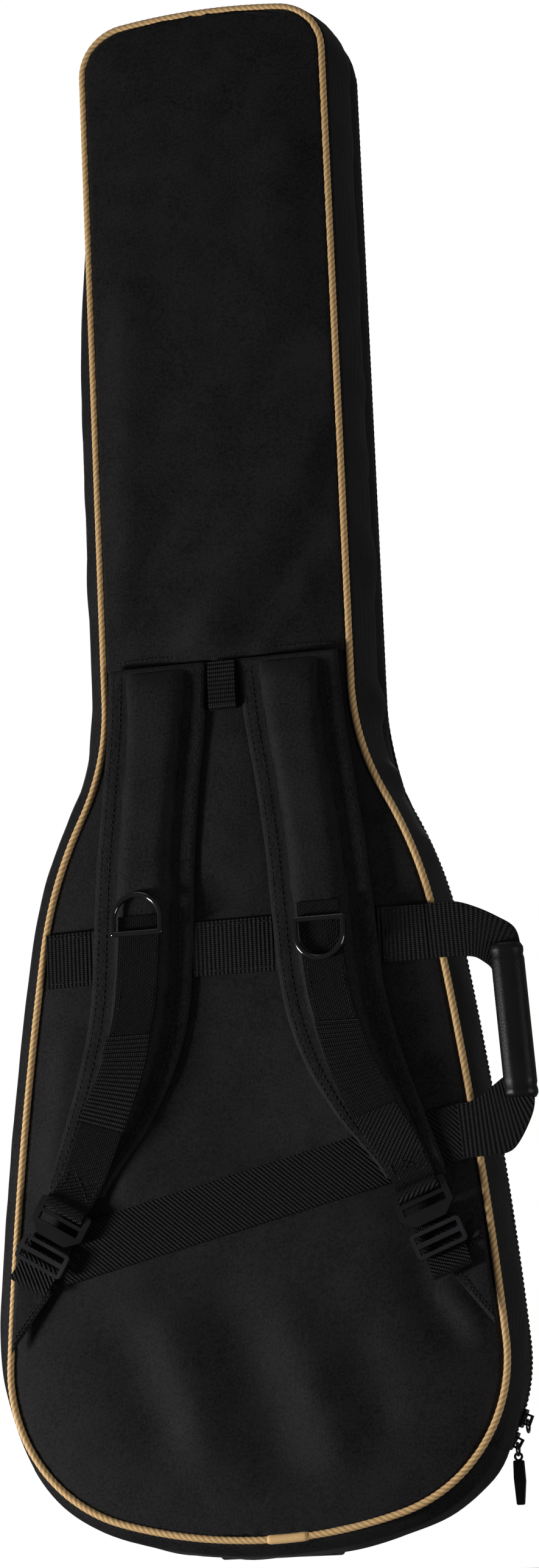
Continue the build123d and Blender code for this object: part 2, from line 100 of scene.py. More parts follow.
# ---- outline -------------------------------------------------------------
def trace(step=5.0):
    """Right half of the outline from foot to head: (x, z, nx, nz) with outward normals."""
    points, x, z, heading = [], 0.0, 0.0, 0.0

    def arc(radius, sweep):
        nonlocal x, z, heading
        turn = math.radians(sweep) * (1 if radius > 0 else -1)
        count = max(3, round(abs(radius * turn) / step))
        cx, cz = x - radius * math.sin(heading), z + radius * math.cos(heading)
        for i in range(1, count + 1):
            h = heading + turn * i / count
            points.append((cx + radius * math.sin(h), cz - radius * math.cos(h), math.sin(h), -math.cos(h)))
        x, z, heading = points[-1][0], points[-1][1], heading + turn

    points.append((0.0, 0.0, 0.0, -1.0))
    for radius, sweep in HALF:
        arc(radius, sweep)
    corner_r, corner = HEAD
    rest = math.radians(90 - corner)
    top_r = (x - corner_r * (1 - math.cos(math.radians(corner)))) / math.sin(rest)
    rise = corner_r * math.sin(math.radians(corner)) + top_r * (1 - math.cos(rest))
    length = HEIGHT - rise - z
    count = round(length / step)
    for i in range(1, count + 1):
        points.append((x, z + length * i / count, 1.0, 0.0))
    z = points[-1][1]
    arc(corner_r, corner)
    arc(top_r, 90 - corner)
    return points


def ring(step=5.0):
    """The closed outline, up the right side and down the left."""
    right = trace(step)
    left = [(-x, z, -nx, nz) for x, z, nx, nz in reversed(right[1:-1])]
    return right + left


OUTLINE = trace(4.0)


def half_width(z, inset=0.0):
    """Half the outline's width at a height, or that of the outline drawn in by an inset."""
    points = [(x - nx * inset, height - nz * inset) for x, height, nx, nz in OUTLINE]
    for a, b in zip(points, points[1:]):
        if a[1] <= z <= b[1]:
            t = (z - a[1]) / max(b[1] - a[1], 1e-9)
            return a[0] + t * (b[0] - a[0])
    return 0.0


def bow(y):
    radius = ((DEPTH / 2) ** 2 + BULGE**2) / (2 * BULGE)
    return BULGE - radius + math.sqrt(radius**2 - y**2)


def on_wall(point, y, out):
    """Point of the bulging side wall at a depth, moved off its face."""
    x, z, nx, nz = point
    return row(x + nx * (bow(y) + out), y, z + nz * (bow(y) + out))


def ripple(a, b, seed):
    """Gentle, repeatable unevenness between -1 and 1."""
    broad = math.sin(a * 1.7 + seed) * math.cos(b * 1.3 - seed * 0.7)
    middle = 0.5 * math.sin(a * 3.9 - b * 2.3 + seed * 2.1)
    return (broad + middle + 0.25 * math.sin(b * 7.1 + a * 5.3 + seed)) / 1.75


# ---- meshes --------------------------------------------------------------
def link(name, data):
    """New object in the scene, at the origin."""
    obj = bpy.data.objects.new(name, data)
    bpy.context.scene.collection.objects.link(obj)
    return obj


def link_bmesh(name, bm):
    mesh = bpy.data.meshes.new(name)
    bm.to_mesh(mesh)
    bm.free()
    return link(name, mesh)


def face_side(obj, side, index=0):
    """Turn all faces over if the one at index looks away from side: -1 is the straps', +1 the pockets'."""
    if obj.data.polygons[index].normal.y * side < 0:
        obj.data.flip_normals()


def new_object(name, verts, faces, uvs=None, attribute=None):
    mesh = bpy.data.meshes.new(name)
    mesh.from_pydata([tuple(v) for v in verts], [], faces)
    if uvs:
        layer = mesh.uv_layers.new(name="UVMap")
        for loop in mesh.loops:
            layer.data[loop.index].uv = uvs[loop.vertex_index]
    if attribute:
        data = mesh.attributes.new(attribute[0], "FLOAT", "POINT")
        data.data.foreach_set("value", attribute[1])
    mesh.shade_smooth()
    return link(name, mesh)


def finish_mesh(obj):
    """Merge doubles and point the faces out."""
    bm = bmesh.new()
    bm.from_mesh(obj.data)
    bmesh.ops.remove_doubles(bm, verts=bm.verts, dist=1e-6)
    bmesh.ops.recalc_face_normals(bm, faces=bm.faces)
    bm.to_mesh(obj.data)
    bm.free()
    obj.data.shade_smooth()


def apply_all(obj):
    """Turn live modifiers into a plain mesh."""
    graph = bpy.context.evaluated_depsgraph_get()
    mesh = bpy.data.meshes.new_from_object(obj.evaluated_get(graph))
    obj.modifiers.clear()
    obj.data = mesh


def grid(name, rows, closed_u=False, closed_v=False, uvs=None, attribute=None):
    """Quads between equal rows of points."""
    n, m = len(rows), len(rows[0])
    verts = [p for r in rows for p in r]
    faces = []
    for i in range(n if closed_v else n - 1):
        for j in range(m if closed_u else m - 1):
            a, b = i * m + j, i * m + (j + 1) % m
            c, d = ((i + 1) % n) * m + (j + 1) % m, ((i + 1) % n) * m + j
            faces.append((a, b, c, d))
    return new_object(name, verts, faces, uvs, attribute)


def thicken(obj, millimetres, offset=-1.0):
    mod = obj.modifiers.new("thickness", "SOLIDIFY")
    mod.thickness = millimetres * MM
    mod.offset = offset
    apply_all(obj)
    obj.data.shade_smooth()


SWELL_FRAMES = 20
SWELL_PRESSURE = 4.0
SWELL_CAP = 0.002           # farthest that the cloth moves from its cut shape


def inflate(obj, voxel=0.0045):
    """Swell a closed piece under its own filling, with the cloth held near its cut shape."""
    remesh = obj.modifiers.new("remesh", "REMESH")
    remesh.mode = "VOXEL"
    remesh.voxel_size = voxel
    apply_all(obj)
    start = [v.co.copy() for v in obj.data.vertices]
    cloth = obj.modifiers.new("cloth", "CLOTH")
    cloth.settings.quality = 5
    cloth.settings.use_pressure = True
    cloth.settings.uniform_pressure_force = SWELL_PRESSURE
    cloth.settings.effector_weights.gravity = 0.0
    for number in range(1, SWELL_FRAMES + 1):
        bpy.context.scene.frame_set(number)
    apply_all(obj)
    bpy.context.scene.frame_set(1)
    for vertex, place in zip(obj.data.vertices, start):
        move = vertex.co - place
        if move.length > SWELL_CAP:
            vertex.co = place + move * (SWELL_CAP / move.length)
    smoother = obj.modifiers.new("smoother", "SUBSURF")
    smoother.levels = smoother.render_levels = 1
    apply_all(obj)
    obj.data.shade_smooth()


def close_ends(obj):
    """Fill the open ends of a swept form."""
    bm = bmesh.new()
    bm.from_mesh(obj.data)
    bmesh.ops.holes_fill(bm, edges=[e for e in bm.edges if e.is_boundary])
    bm.to_mesh(obj.data)
    bm.free()
    finish_mesh(obj)


def spline(rows, count):
    """Catmull-Rom through rows of equal length."""
    out = []
    rows = [rows[0]] + list(rows) + [rows[-1]]
    for i in range(1, len(rows) - 2):
        for k in range(count):
            t = k / count
            p0, p1, p2, p3 = rows[i - 1], rows[i], rows[i + 1], rows[i + 2]
            out.append([0.5 * (2 * b + (c - a) * t + (2 * a - 5 * b + 4 * c - d) * t * t
                               + (3 * b - a - 3 * c + d) * t**3) for a, b, c, d in zip(p0, p1, p2, p3)])
    out.append(list(rows[-2]))
    return out


STRIP_COLUMNS = 10


def strip(name, pairs, thick, detail=6):
    """Flat webbing through pairs of edge points, given as six numbers (xyz left, xyz right)."""
    rows, uvs = [], []
    run = 0.0
    last = None
    for pair in spline(pairs, detail):
        left, right = Vector(pair[:3]), Vector(pair[3:])
        middle = (left + right) / 2
        run += (middle - last).length if last else 0.0
        last = middle
        points = []
        for j in range(STRIP_COLUMNS + 1):
            t = j / STRIP_COLUMNS
            points.append(row(*left.lerp(right, t)))
            uvs.append(((t - 0.5) * (right - left).length * MM, run * MM))
        rows.append(points)
    obj = grid(name, rows, uvs=uvs)
    finish_mesh(obj)
    face_side(obj, -1)
    thicken(obj, thick, 0.0)
    bevel = obj.modifiers.new("edge", "BEVEL")
    bevel.width = 0.35 * MM
    bevel.segments = 2
    bevel.limit_method = "ANGLE"
    apply_all(obj)
    obj.data.shade_smooth()
    return obj


# ---- materials -----------------------------------------------------------
class Pattern:
    """The nodes of one finish, joined to its Principled shader."""

    def __init__(self, mat, color, roughness):
        self.nodes, self.links = mat.node_tree.nodes, mat.node_tree.links
        self.shader = self.nodes["Principled BSDF"]
        self.color, self.roughness = color, roughness

    def node(self, kind, output, **inputs):
        """New node; an input is a number or another node's output. Gives the named output."""
        node = self.nodes.new(kind)
        for key, value in inputs.items():
            self.feed(node.inputs[key], value)
        return node, node.outputs[output]

    def feed(self, socket, value):
        if isinstance(value, (int, float)):
            socket.default_value = value
        else:
            self.links.new(value, socket)

    def math(self, operation, *values):
        node = self.nodes.new("ShaderNodeMath")
        node.operation = operation
        for socket, value in zip(node.inputs, values):
            self.feed(socket, value)
        return node.outputs[0]

    def add(self, a, b):
        return self.math("ADD", a, b)

    def times(self, a, b):
        return self.math("MULTIPLY", a, b)

    def place(self, kind):
        return self.node("ShaderNodeTexCoord", kind)[1]

    def wave(self, vector, scale, direction):
        node, factor = self.node("ShaderNodeTexWave", "Fac", Vector=vector, Scale=scale, Distortion=0.6,
                                 Detail=1.0)
        node.bands_direction = direction
        return factor

    def noise(self, vector, scale, detail=3.0):
        return self.node("ShaderNodeTexNoise", "Fac", Vector=vector, Scale=scale, Detail=detail)[1]

    def colour(self, factor, dark, light):
        """Colour between two strengths of the finish's own."""
        ramp, out = self.node("ShaderNodeValToRGB", "Color", Fac=factor)
        for element, strength in zip(ramp.color_ramp.elements, (dark, light)):
            element.color = (*[c * strength for c in self.color], 1)
        self.links.new(out, self.shader.inputs["Base Color"])
        return ramp

    def bump(self, height, strength, distance, below=None):
        _, normal = self.node("ShaderNodeBump", "Normal", Height=height, Strength=strength, Distance=distance,
                              **({"Normal": below} if below else {}))
        self.links.new(normal, self.shader.inputs["Normal"])
        return normal

    def rough(self, factor, spread, drop):
        """Roughness that follows a factor, round the finish's own."""
        out = self.add(self.times(factor, spread), self.roughness - drop)
        self.links.new(out, self.shader.inputs["Roughness"])


def material(name, color, roughness, build=None, **sockets):
    """A Principled material; build(pattern) adds its pattern."""
    mat = bpy.data.materials.new(name)
    mat.use_nodes = True
    shader = mat.node_tree.nodes["Principled BSDF"]
    shader.inputs["Base Color"].default_value = (*color, 1)
    shader.inputs["Roughness"].default_value = roughness
    for key, value in sockets.items():
        shader.inputs[key.replace("_", " ")].default_value = value
    if build:
        build(Pattern(mat, color, roughness))
    return mat


def woven(pitch, strength=0.5):
    """Plain weave of two crossing threads with mottled colour."""

    def build(pattern):
        vector = pattern.place("Object")
        warp, weft = [pattern.wave(vector, WAVE_TURN / pitch, axis) for axis in "XZ"]
        height = pattern.times(warp, weft)
        mottle = pattern.noise(vector, 38.0, 5.0)
        fleck = pattern.noise(vector, 620.0, 2.0)
        spots = pattern.add(pattern.times(mottle, 0.5), pattern.times(fleck, 1.1))
        # colour mixes random mottle and fleck with painted shade: the weave's hollows are painted darker and
        # its crossings lighter
        ramp = pattern.colour(pattern.add(pattern.times(height, 0.3), spots), 0.15, 2.6)
        ramp.color_ramp.elements[0].position = 0.55
        pattern.rough(mottle, 0.16, 0.08)
        broad = pattern.bump(mottle, 0.25, 0.0015)
        pattern.bump(height, strength, 0.0003, broad)

    return build


def ribbed(pitch, slant):
    """Webbing: cross ribs along the strip's own UV, leaning by slant, with fine threads between."""

    def build(pattern):
        vector = pattern.place("UV")
        split = pattern.node("ShaderNodeSeparateXYZ", "X", Vector=vector)[0]
        across, along = split.outputs["X"], split.outputs["Y"]
        turn = 2 * math.pi / pitch
        phase = pattern.add(pattern.times(along, turn), pattern.times(across, turn * slant))
        ribs = pattern.math("SINE", phase)
        threads = pattern.math("SINE", pattern.times(across, THREAD_TURN))
        height = pattern.add(ribs, pattern.times(threads, 0.3))
        # colour: painted shade from the rib height, darker in the grooves and lighter on the ribs, with
        # random tone from noise
        pattern.colour(pattern.add(pattern.times(height, 0.3), pattern.noise(vector, 260.0)), 0.35, 1.9)
        pattern.bump(height, 0.8, 0.0007)

    return build


def twisted(pattern):
    """Cord piping: its colour follows the ply attribute of its mesh."""
    ply = pattern.nodes.new("ShaderNodeAttribute")
    ply.attribute_name = "ply"
    fibre = pattern.noise(pattern.place("Object"), 900.0, 4.0)
    # painted shade: darker in the grooves between the plies, lighter on their crests, plus random fibre tone
    fibre_tone_and_groove_shade = pattern.add(pattern.times(ply.outputs["Fac"], 0.75), pattern.times(fibre, 0.3))
    pattern.colour(fibre_tone_and_groove_shade, 0.5, 1.25)
    pattern.bump(fibre, 0.4, 0.0004)


def grained(scale, strength):
    """Fine cells with a little wear, for leather, foam, plastic and metal."""

    def build(pattern):
        vector = pattern.place("Object")
        cells = pattern.node("ShaderNodeTexVoronoi", "Distance", Vector=vector, Scale=scale)[1]
        wear = pattern.noise(vector, 60.0)
        pattern.colour(wear, 0.7, 1.5)
        pattern.rough(wear, 0.2, 0.1)
        pattern.bump(cells, strength, 0.0003)

    return build


WAVE_TURN = 0.314           # wave bands to one thread of a weave
THREAD_TURN = 4200.0        # fine threads of webbing, in radians to the metre


def make_materials():
    look = bpy.context.scene.gig_bag
    cloth, tan = list(look.cloth), list(look.piping)
    dull = {"Specular_IOR_Level": 0.14}
    warm = [c * 1.05 for c in cloth]
    thread = [c * 2.2 for c in cloth]
    coat = {"Sheen_Weight": 0.035, "Sheen_Roughness": 0.4}
    plush = {"Sheen_Weight": 0.3, "Sheen_Roughness": 0.6}
    finishes = [
        ("shell_nylon", cloth, 0.6, woven(0.0008), {**coat, **dull}),
        ("webbing_nylon", warm, 0.55, ribbed(0.003, 0.0), dull),
        ("webbing_twill", warm, 0.55, ribbed(0.003, 0.75), dull),
        ("piping_tan", tan, 0.5, twisted, {"Specular_IOR_Level": 0.4, "Sheen_Weight": 0.1}),
        ("piping_black", cloth, 0.55, twisted, dull),
        ("foam_grey", (0.13, 0.13, 0.14), 0.9, grained(900.0, 0.3), {}),
        ("lining_grey", (0.035, 0.035, 0.04), 0.95, woven(0.0012, 0.8), plush),
        ("strap_mesh", warm, 0.6, woven(0.0009, 0.6), {"Sheen_Weight": 0.04, **dull}),
        ("grip_leather", (0.007, 0.0065, 0.0065), 0.38, grained(1500.0, 0.3), {"Specular_IOR_Level": 0.35}),
        ("zip_tape", cloth, 0.75, woven(0.0006, 0.5), dull),
        ("zip_coil", (0.009, 0.009, 0.0095), 0.38, grained(2000.0, 0.2), {}),
        ("slider_metal", (0.02, 0.02, 0.021), 0.3, grained(1200.0, 0.1), {"Metallic": 0.6}),
        ("ring_metal", (0.008, 0.008, 0.0085), 0.16, grained(700.0, 0.06), {"Coat_Weight": 0.5}),
        ("buckle_plastic", (0.009, 0.009, 0.0095), 0.24, grained(2400.0, 0.12), {}),
        ("slide_plastic", (0.018, 0.018, 0.02), 0.3, grained(2400.0, 0.12), {}),
        ("guard_rubber", (0.02, 0.02, 0.021), 0.4, grained(1800.0, 0.3), dull),
        ("thread_black", thread, 0.6, woven(0.0004, 0.3), dull),
    ]
    return {finish[0]: material(*finish[:4], **finish[4]) for finish in finishes}


MATERIALS = {}


def dress(obj, slot_name, body, replaced=(), finish=None):
    obj.data.materials.clear()
    obj.data.materials.append(MATERIALS[finish or slot_name])
    if body:
        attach(obj, body)
    if replaced:
        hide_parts(*replaced)
    return obj


# ---- repeats along a path, made with Geometry Nodes ----------------------
def repeat_tree():
    """Small ellipsoids along every edge path of the object, turned to follow it."""
    tree = bpy.data.node_groups.new("repeat_along_path", "GeometryNodeTree")
    face = tree.interface
    face.new_socket("Geometry", in_out="INPUT", socket_type="NodeSocketGeometry")
    for name, value in (("Spacing", 0.004), ("Length", 0.0013), ("Width", 0.0004), ("Depth", 0.0004)):
        face.new_socket(name, in_out="INPUT", socket_type="NodeSocketFloat").default_value = value
    face.new_socket("Material", in_out="INPUT", socket_type="NodeSocketMaterial")
    face.new_socket("Geometry", in_out="OUTPUT", socket_type="NodeSocketGeometry")
    nodes, links = tree.nodes, tree.links
    source, sink = nodes.new("NodeGroupInput"), nodes.new("NodeGroupOutput")
    to_curve = nodes.new("GeometryNodeMeshToCurve")
    points = nodes.new("GeometryNodeCurveToPoints")
    points.mode = "LENGTH"
    ball = nodes.new("GeometryNodeMeshUVSphere")
    ball.inputs["Segments"].default_value = 6
    ball.inputs["Rings"].default_value = 4
    ball.inputs["Radius"].default_value = 1.0
    scale = nodes.new("ShaderNodeCombineXYZ")
    place = nodes.new("GeometryNodeInstanceOnPoints")
    real = nodes.new("GeometryNodeRealizeInstances")
    paint = nodes.new("GeometryNodeSetMaterial")
    for start, output, end, entry in (
            (source, "Geometry", to_curve, "Mesh"), (to_curve, "Curve", points, "Curve"),
            (source, "Spacing", points, "Length"), (points, "Points", place, "Points"),
            (points, "Rotation", place, "Rotation"), (ball, "Mesh", place, "Instance"),
            (source, "Width", scale, "X"), (source, "Depth", scale, "Y"), (source, "Length", scale, "Z"),
            (scale, "Vector", place, "Scale"), (place, "Instances", real, "Geometry"),
            (real, "Geometry", paint, "Geometry"), (source, "Material", paint, "Material"),
            (paint, "Geometry", sink, "Geometry")):
        links.new(start.outputs[output], end.inputs[entry])
    return tree


def repeats(name, paths, spacing, size, finish):
    """Plain mesh of small beads along paths of row points; size is length, width, depth in millimetres."""
    verts, edges = [], []
    for path in paths:
        start = len(verts)
        verts += [tuple(p) for p in path]
        edges += [(start + i, start + i + 1) for i in range(len(path) - 1)]
    mesh = bpy.data.meshes.new(name)
    mesh.from_pydata(verts, edges, [])
    obj = link(name, mesh)
    tree = bpy.data.node_groups.get("repeat_along_path") or repeat_tree()
    mod = obj.modifiers.new("repeat", "NODES")
    mod.node_group = tree
    ids = {s.name: s.identifier for s in tree.interface.items_tree if s.in_out == "INPUT"}
    values = {"Spacing": spacing, "Length": size[0], "Width": size[1], "Depth": size[2]}
    for key, value in values.items():
        mod[ids[key]] = value * MM
    mod[ids["Material"]] = MATERIALS[finish]
    apply_all(obj)
    obj.data.shade_smooth()
    return obj


def stitches(name, paths, body, spacing=None):
    spacing = spacing or bpy.context.scene.gig_bag.stitch_spacing / MM
    obj = repeats(name, paths, spacing, (1.25, 0.42, 0.42), "thread_black")
    if body:
        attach(obj, body)
    return obj


# ---- panels --------------------------------------------------------------
BACK_FOLDS = [  # x0, z0, x1, z1, width, height: soft folds of the strap side
    (88, 830, -70, 640, 30, -2.6), (92, 770, -30, 612, 17, 2.4), (84, 700, 10, 612, 12, -2.0),
    (70, 660, 20, 606, 9, 1.6), (-60, 900, -75, 640, 22, 1.4), (60, 1010, 40, 820, 28, 1.2),
    (-20, 175, 25, 28, 20, -3.0), (-62, 160, -30, 40, 16, 2.2), (30, 150, 62, 40, 15, 2.2),
    (-100, 150, -62, 60, 20, -2.2), (72, 140, 92, 60, 16, -2.0), (112, 185, 148, 118, 13, -3.4),
    (128, 165, 158, 130, 8, 2.6), (-110, 330, -70, 215, 24, 1.6), (0, 345, 10, 245, 28, -1.8),
    (60, 330, 84, 262, 15, 1.8), (20, 560, -5, 440, 26, 1.6), (110, 470, 140, 330, 14, -1.8),
    (-126, 360, -140, 240, 12, 1.6),
]
FRONT_FOLDS = [
    (60, 560, -50, 470, 26, -2.0), (-60, 620, 20, 520, 22, 1.4), (40, 60, -40, 30, 22, -1.2),
    (-50, 640, -60, 560, 20, 1.0),
]


def folds(x, z, table):
    total = 0.0
    for x0, z0, x1, z1, width, height in table:
        dx, dz = x1 - x0, z1 - z0
        t = max(0.0, min(1.0, ((x - x0) * dx + (z - z0) * dz) / (dx * dx + dz * dz)))
        d = math.hypot(x - x0 - t * dx, z - z0 - t * dz)
        total += height * math.exp(-((d / width) ** 2)) * smooth(4 * t + 0.3) * smooth(4 * (1 - t) + 0.3)
    return total


def edge_distance(x, z):
    best = 1e9
    for px, pz, _, _ in OUTLINE[::3]:
        d = (abs(x) - px) ** 2 + (z - pz) ** 2
        best = min(best, d)
    return math.sqrt(best)


def crowned(distance):
    """Rise of a padded panel at a distance in from its outline."""
    return CROWN * (1 - (1 - min(distance / 42.0, 1.0)) ** 2.2) + 2.6 * smooth((distance - 20) / 70.0)


EDGE = 2.2                  # from the outline in to the panel's seam
FOLD_LOW, FOLD_HIGH = 1.5, 2.5     # how deep the folds are below and above the hem


def padded_panel(name, side, z_low, z_high, table, lift=0.0, columns=48):
    """Crowned padded cloth between two heights; side -1 faces the straps, +1 the pockets."""
    rows, uvs = [], []
    z_low, z_high = max(z_low, EDGE + 0.05), min(z_high, HEIGHT - EDGE - 0.05)
    levels = [p[1] for p in trace(6.0) if z_low < p[1] < z_high]
    levels = sorted({round(z, 3) for z in [z_low, *levels, z_high]})
    plane = BACK if side < 0 else FRONT
    for z in levels:
        w = max(half_width(z, EDGE), 0.5)
        points = []
        for j in range(columns + 1):
            u = -math.cos(math.pi * j / columns) * 0.5 + (2.0 * j / columns - 1) * 0.5
            x = w * u
            d = edge_distance(x, z)
            crown = crowned(d)
            inside = smooth(d / 26.0)
            drape = FOLD_LOW + (FOLD_HIGH - FOLD_LOW) * smooth((z - 560) / 60)
            unevenness = 0.5 * ripple(x / 24, z / 30, 2.0 + side)
            height = crown + (drape * folds(x, z, table) + unevenness) * inside
            height = max(height, 0.3 * crown) + lift * smooth(d / 5.0 + 0.2)
            points.append(row(x, plane + side * height, z))
            uvs.append((x * MM, z * MM))
        rows.append(points)
    obj = grid(name, rows, uvs=uvs)
    finish_mesh(obj)
    face_side(obj, side, len(obj.data.polygons) // 2)
    thicken(obj, 1.4, -1.0)
    return obj


def make_back_panels():
    lower = padded_panel("lower_back_cloth", -1, 0.0, HEM_Z + 8, BACK_FOLDS, -1.2)
    dress(lower, "shell_nylon", "shell", ["back_lower_panel"])
    upper = padded_panel("upper_back_cloth", -1, HEM_Z, HEIGHT, BACK_FOLDS, 0.9)
    dress(upper, "shell_nylon", "shell", ["back_upper_panel"])
    w = half_width(HEM_Z) - 5
    hem = []
    for i in range(41):
        x = -w + 2 * w * i / 40
        y = BACK - 7.9 + 2.6 * smooth((abs(x) - 50) / 38) + 4.2 * smooth((abs(x) - 66) / 22)
        hem.append(row(x, y, HEM_Z + 5))
    stitches("hem_stitches", [hem], "shell")


def make_front_panel():
    front = padded_panel("front_cloth", 1, 0.0, HEIGHT, FRONT_FOLDS)
    dress(front, "shell_nylon", "lid", ["front_panel"])


# ---- side wall -----------------------------------------------------------
def wall(name, points, y0, y1, seed, columns=14):
    """Side wall cloth along outline points between two depths, softly puckered."""
    rows, uvs = [], []
    run = 0.0
    for i, (x, z, nx, nz) in enumerate(points):
        if i:
            run += math.hypot(x - points[i - 1][0], z - points[i - 1][1])
        line = []
        for j in range(columns + 1):
            y = y0 + (y1 - y0) * j / columns
            middle = smooth(1.0 - abs(y) / 46.0) * smooth(abs(y - ZIP_Y) / 14.0)
            near = smooth((y + 46) / 13.0) * smooth((14 - y) / 22.0)
            left = 12.5 * smooth(-x / 80.0) * smooth((z - 40) / 120) * smooth((1010 - z) / 200) * near
            under = smooth(-nz * 1.4 - 0.15) * smooth((300 - z) / 100)
            sag = 9.5 * under * smooth((y + 46) / 12) * smooth(-y / 12)
            neck = 3.5 * smooth(x / 60.0) * smooth((z - 480) / 120) * smooth(abs(y - ZIP_Y) / 14.0)
            kink = 4.6 * max(0.0, math.sin(run / 12.0 + math.sin(run / 41.0 + seed) * 1.6))
            waist = smooth((z - 440) / 120) * smooth((760 - z) / 140)
            puff = kink * (0.25 + 0.95 * waist) + 0.5 * (1 + ripple(run / 26.0, y / 15.0, seed))
            offset = bow(y) + left + puff * middle + sag + neck * smooth((44 - y) / 12)
            line.append(row(x + nx * offset, y, z + nz * offset))
            uvs.append((run * MM, y * MM))
        rows.append(line)
    obj = grid(name, rows, uvs=uvs)
    finish_mesh(obj)
    middle_face = obj.data.polygons[len(obj.data.polygons) // 4]
    out = middle_face.center - Vector((0, middle_face.center.y, row(0, 0, 540).z))
    if middle_face.normal.dot(Vector((out.x, 0, 0))) < 0:
        obj.data.flip_normals()
    thicken(obj, 1.2, -1.0)
    return obj


def seam_split(points):
    """Outline points above and below the bottom wall's cross seams."""
    seam_z = 54.1
    above = [p for p in points if p[1] >= seam_z]
    below = [p for p in points if p[1] < seam_z]
    turn = next(i for i, p in enumerate(below) if p[0] < 0)
    return above, below[turn:] + below[:turn]


def make_side_walls():
    above, below = seam_split(ring(5.0))
    back = wall("side_wall_cloth", above, BACK + 1.6, ZIP_Y - 2.6, 1.0)
    dress(back, "shell_nylon", "shell", ["gusset_skin"])
    lid = wall("lid_wall_cloth", above, ZIP_Y + 2.6, FRONT - 1.6, 2.0, 8)
    dress(lid, "shell_nylon", "lid", ["lid_gusset_skin"])
    first, last = above[0], above[-1]
    foot = wall("bottom_wall_cloth", [last] + below + [first], BACK + 1.6, FRONT - 3.0, 3.0, 18)
    dress(foot, "shell_nylon", "shell", ["bottom_gusset_skin"])
    lines = []
    for x, z, nx, nz in (first, last):
        for step in (1.5, 4.5):
            tx, tz = (-nz, nx) if x < 0 else (nz, -nx)
            lines.append([row(x + nx * (bow(y) + 0.5) + tx * step, y, z + nz * (bow(y) + 0.5) + tz * step)
                          for y in range(-42, 12, 3)])
    for y in (ZIP_Y - 4.2, BACK + 5.0):
        lines.append([on_wall(p, y, 0.35) for p in above])
    stitches("side_wall_stitches", lines, "shell")
    stitches("lid_wall_stitches", [[on_wall(p, ZIP_Y + 4.2, 0.35) for p in above]], "lid")


# ---- piping --------------------------------------------------------------
def make_piping(name, y, body, node, finish):
    """Twisted three ply cord round the panel."""
    points = ring(0.8)
    sides, run = 12, 0.0
    pitch = bpy.context.scene.gig_bag.cord_lay / MM
    rows, ply = [], []
    for i, (x, z, nx, nz) in enumerate(points):
        if i:
            run += math.hypot(x - points[i - 1][0], z - points[i - 1][1])
        line = []
        for j in range(sides):
            a = 2 * math.pi * j / sides
            crest = 0.5 + 0.5 * math.cos(3 * a - 2 * math.pi * run / pitch)
            r = PIPE_R * (0.92 + 0.1 * crest)
            off = PIPE_OUT + r * math.cos(a)
            line.append(row(x + nx * off, y + r * math.sin(a), z + nz * off))
            # the ply attribute carries the painted shade of the cord's colour, darker in the grooves between
            # the plies
            ply.append(crest)
        rows.append(line)
    obj = grid(name, rows, closed_u=True, closed_v=True, attribute=("ply", ply))
    finish_mesh(obj)
    dress(obj, finish, body, [node])


def make_splice_cover():
    """Short cloth sleeve over the joint of the tan cord."""
    points = [p for p in trace(2.0) if 3.0 < p[0] < 33.0 and p[1] < 20]
    rows = []
    for i, (x, z, nx, nz) in enumerate(points):
        end = min(i, len(points) - 1 - i)
        r = PIPE_R + (0.25 if end == 0 else 0.7) + 0.06 * math.sin(i * 2.3)
        rows.append([row(x + nx * (PIPE_OUT + r * math.cos(a)), BACK + r * math.sin(a),
                         z + nz * (PIPE_OUT + r * math.cos(a)))
                     for a in [2 * math.pi * j / 20 for j in range(20)]])
    # an even ply value, so the sleeve has none of the cord's painted groove shade
    obj = grid("cord_splice_cover", rows, closed_u=True, attribute=("ply", [0.8] * (20 * len(rows))))
    finish_mesh(obj)
    thicken(obj, 0.5, -1.0)
    dress(obj, "piping_tan", "shell", ["piping_splice_cover"])


# ---- webbing -------------------------------------------------------------
FOLD_X, FOLD_Z = 150.5, 404.0      # where the handle's fold line crosses the upper webbing
FOLD_SLOPE = 15.0 / 139.0


def fold_x(z):
    return FOLD_X + (FOLD_Z - z) * FOLD_SLOPE


def panel_y(x, z, above=0.0):
    """Face of the strap side cloth, moved outwards."""
    d = edge_distance(x, z)
    return BACK - crowned(d) - above


def make_bands():
    """Carrying webbing across the back, out over the piping into the handle."""
    flat, over, rise = -54.3, -53.0, -51.6
    upper = []
    for x in (-138, -110, -70, -20, 30, 80, 115):
        y = max(panel_y(x, 400, 1.6), flat)
        upper.append((x, y, 383, x, y, 421))
    upper += [(136, rise, 383, 134, rise, 421), (144, over, 383, 141, over, 421)]
    obj = strip("upper_carrying_webbing", upper, 1.8)
    dress(obj, "webbing_nylon", "shell", ["upper_webbing_band"])
    lower = []
    for t in (0.0, 0.1, 0.25, 0.4, 0.55, 0.7, 0.82):
        x0, z0 = -160 + t * 322, 170 + t * 77
        y = max(panel_y(x0, z0 + 18, 1.6), flat)
        lower.append((x0 + 1, y, z0, x0 - 7, y, z0 + 37))
    lower += [(147, rise, 244, 140, rise, 281), (159, over, 246, 155.5, over, 283)]
    obj = strip("lower_carrying_webbing", lower, 1.8)
    dress(obj, "webbing_nylon", "shell", ["lower_webbing_band"], "webbing_twill")
    lines = []
    for z in (386, 418):
        lines.append([row(x, max(panel_y(x, 400, 1.6), flat) - 1.1, z) for x in range(-134, 118, 4)])
    stitches("carrying_webbing_stitches", lines, "shell")


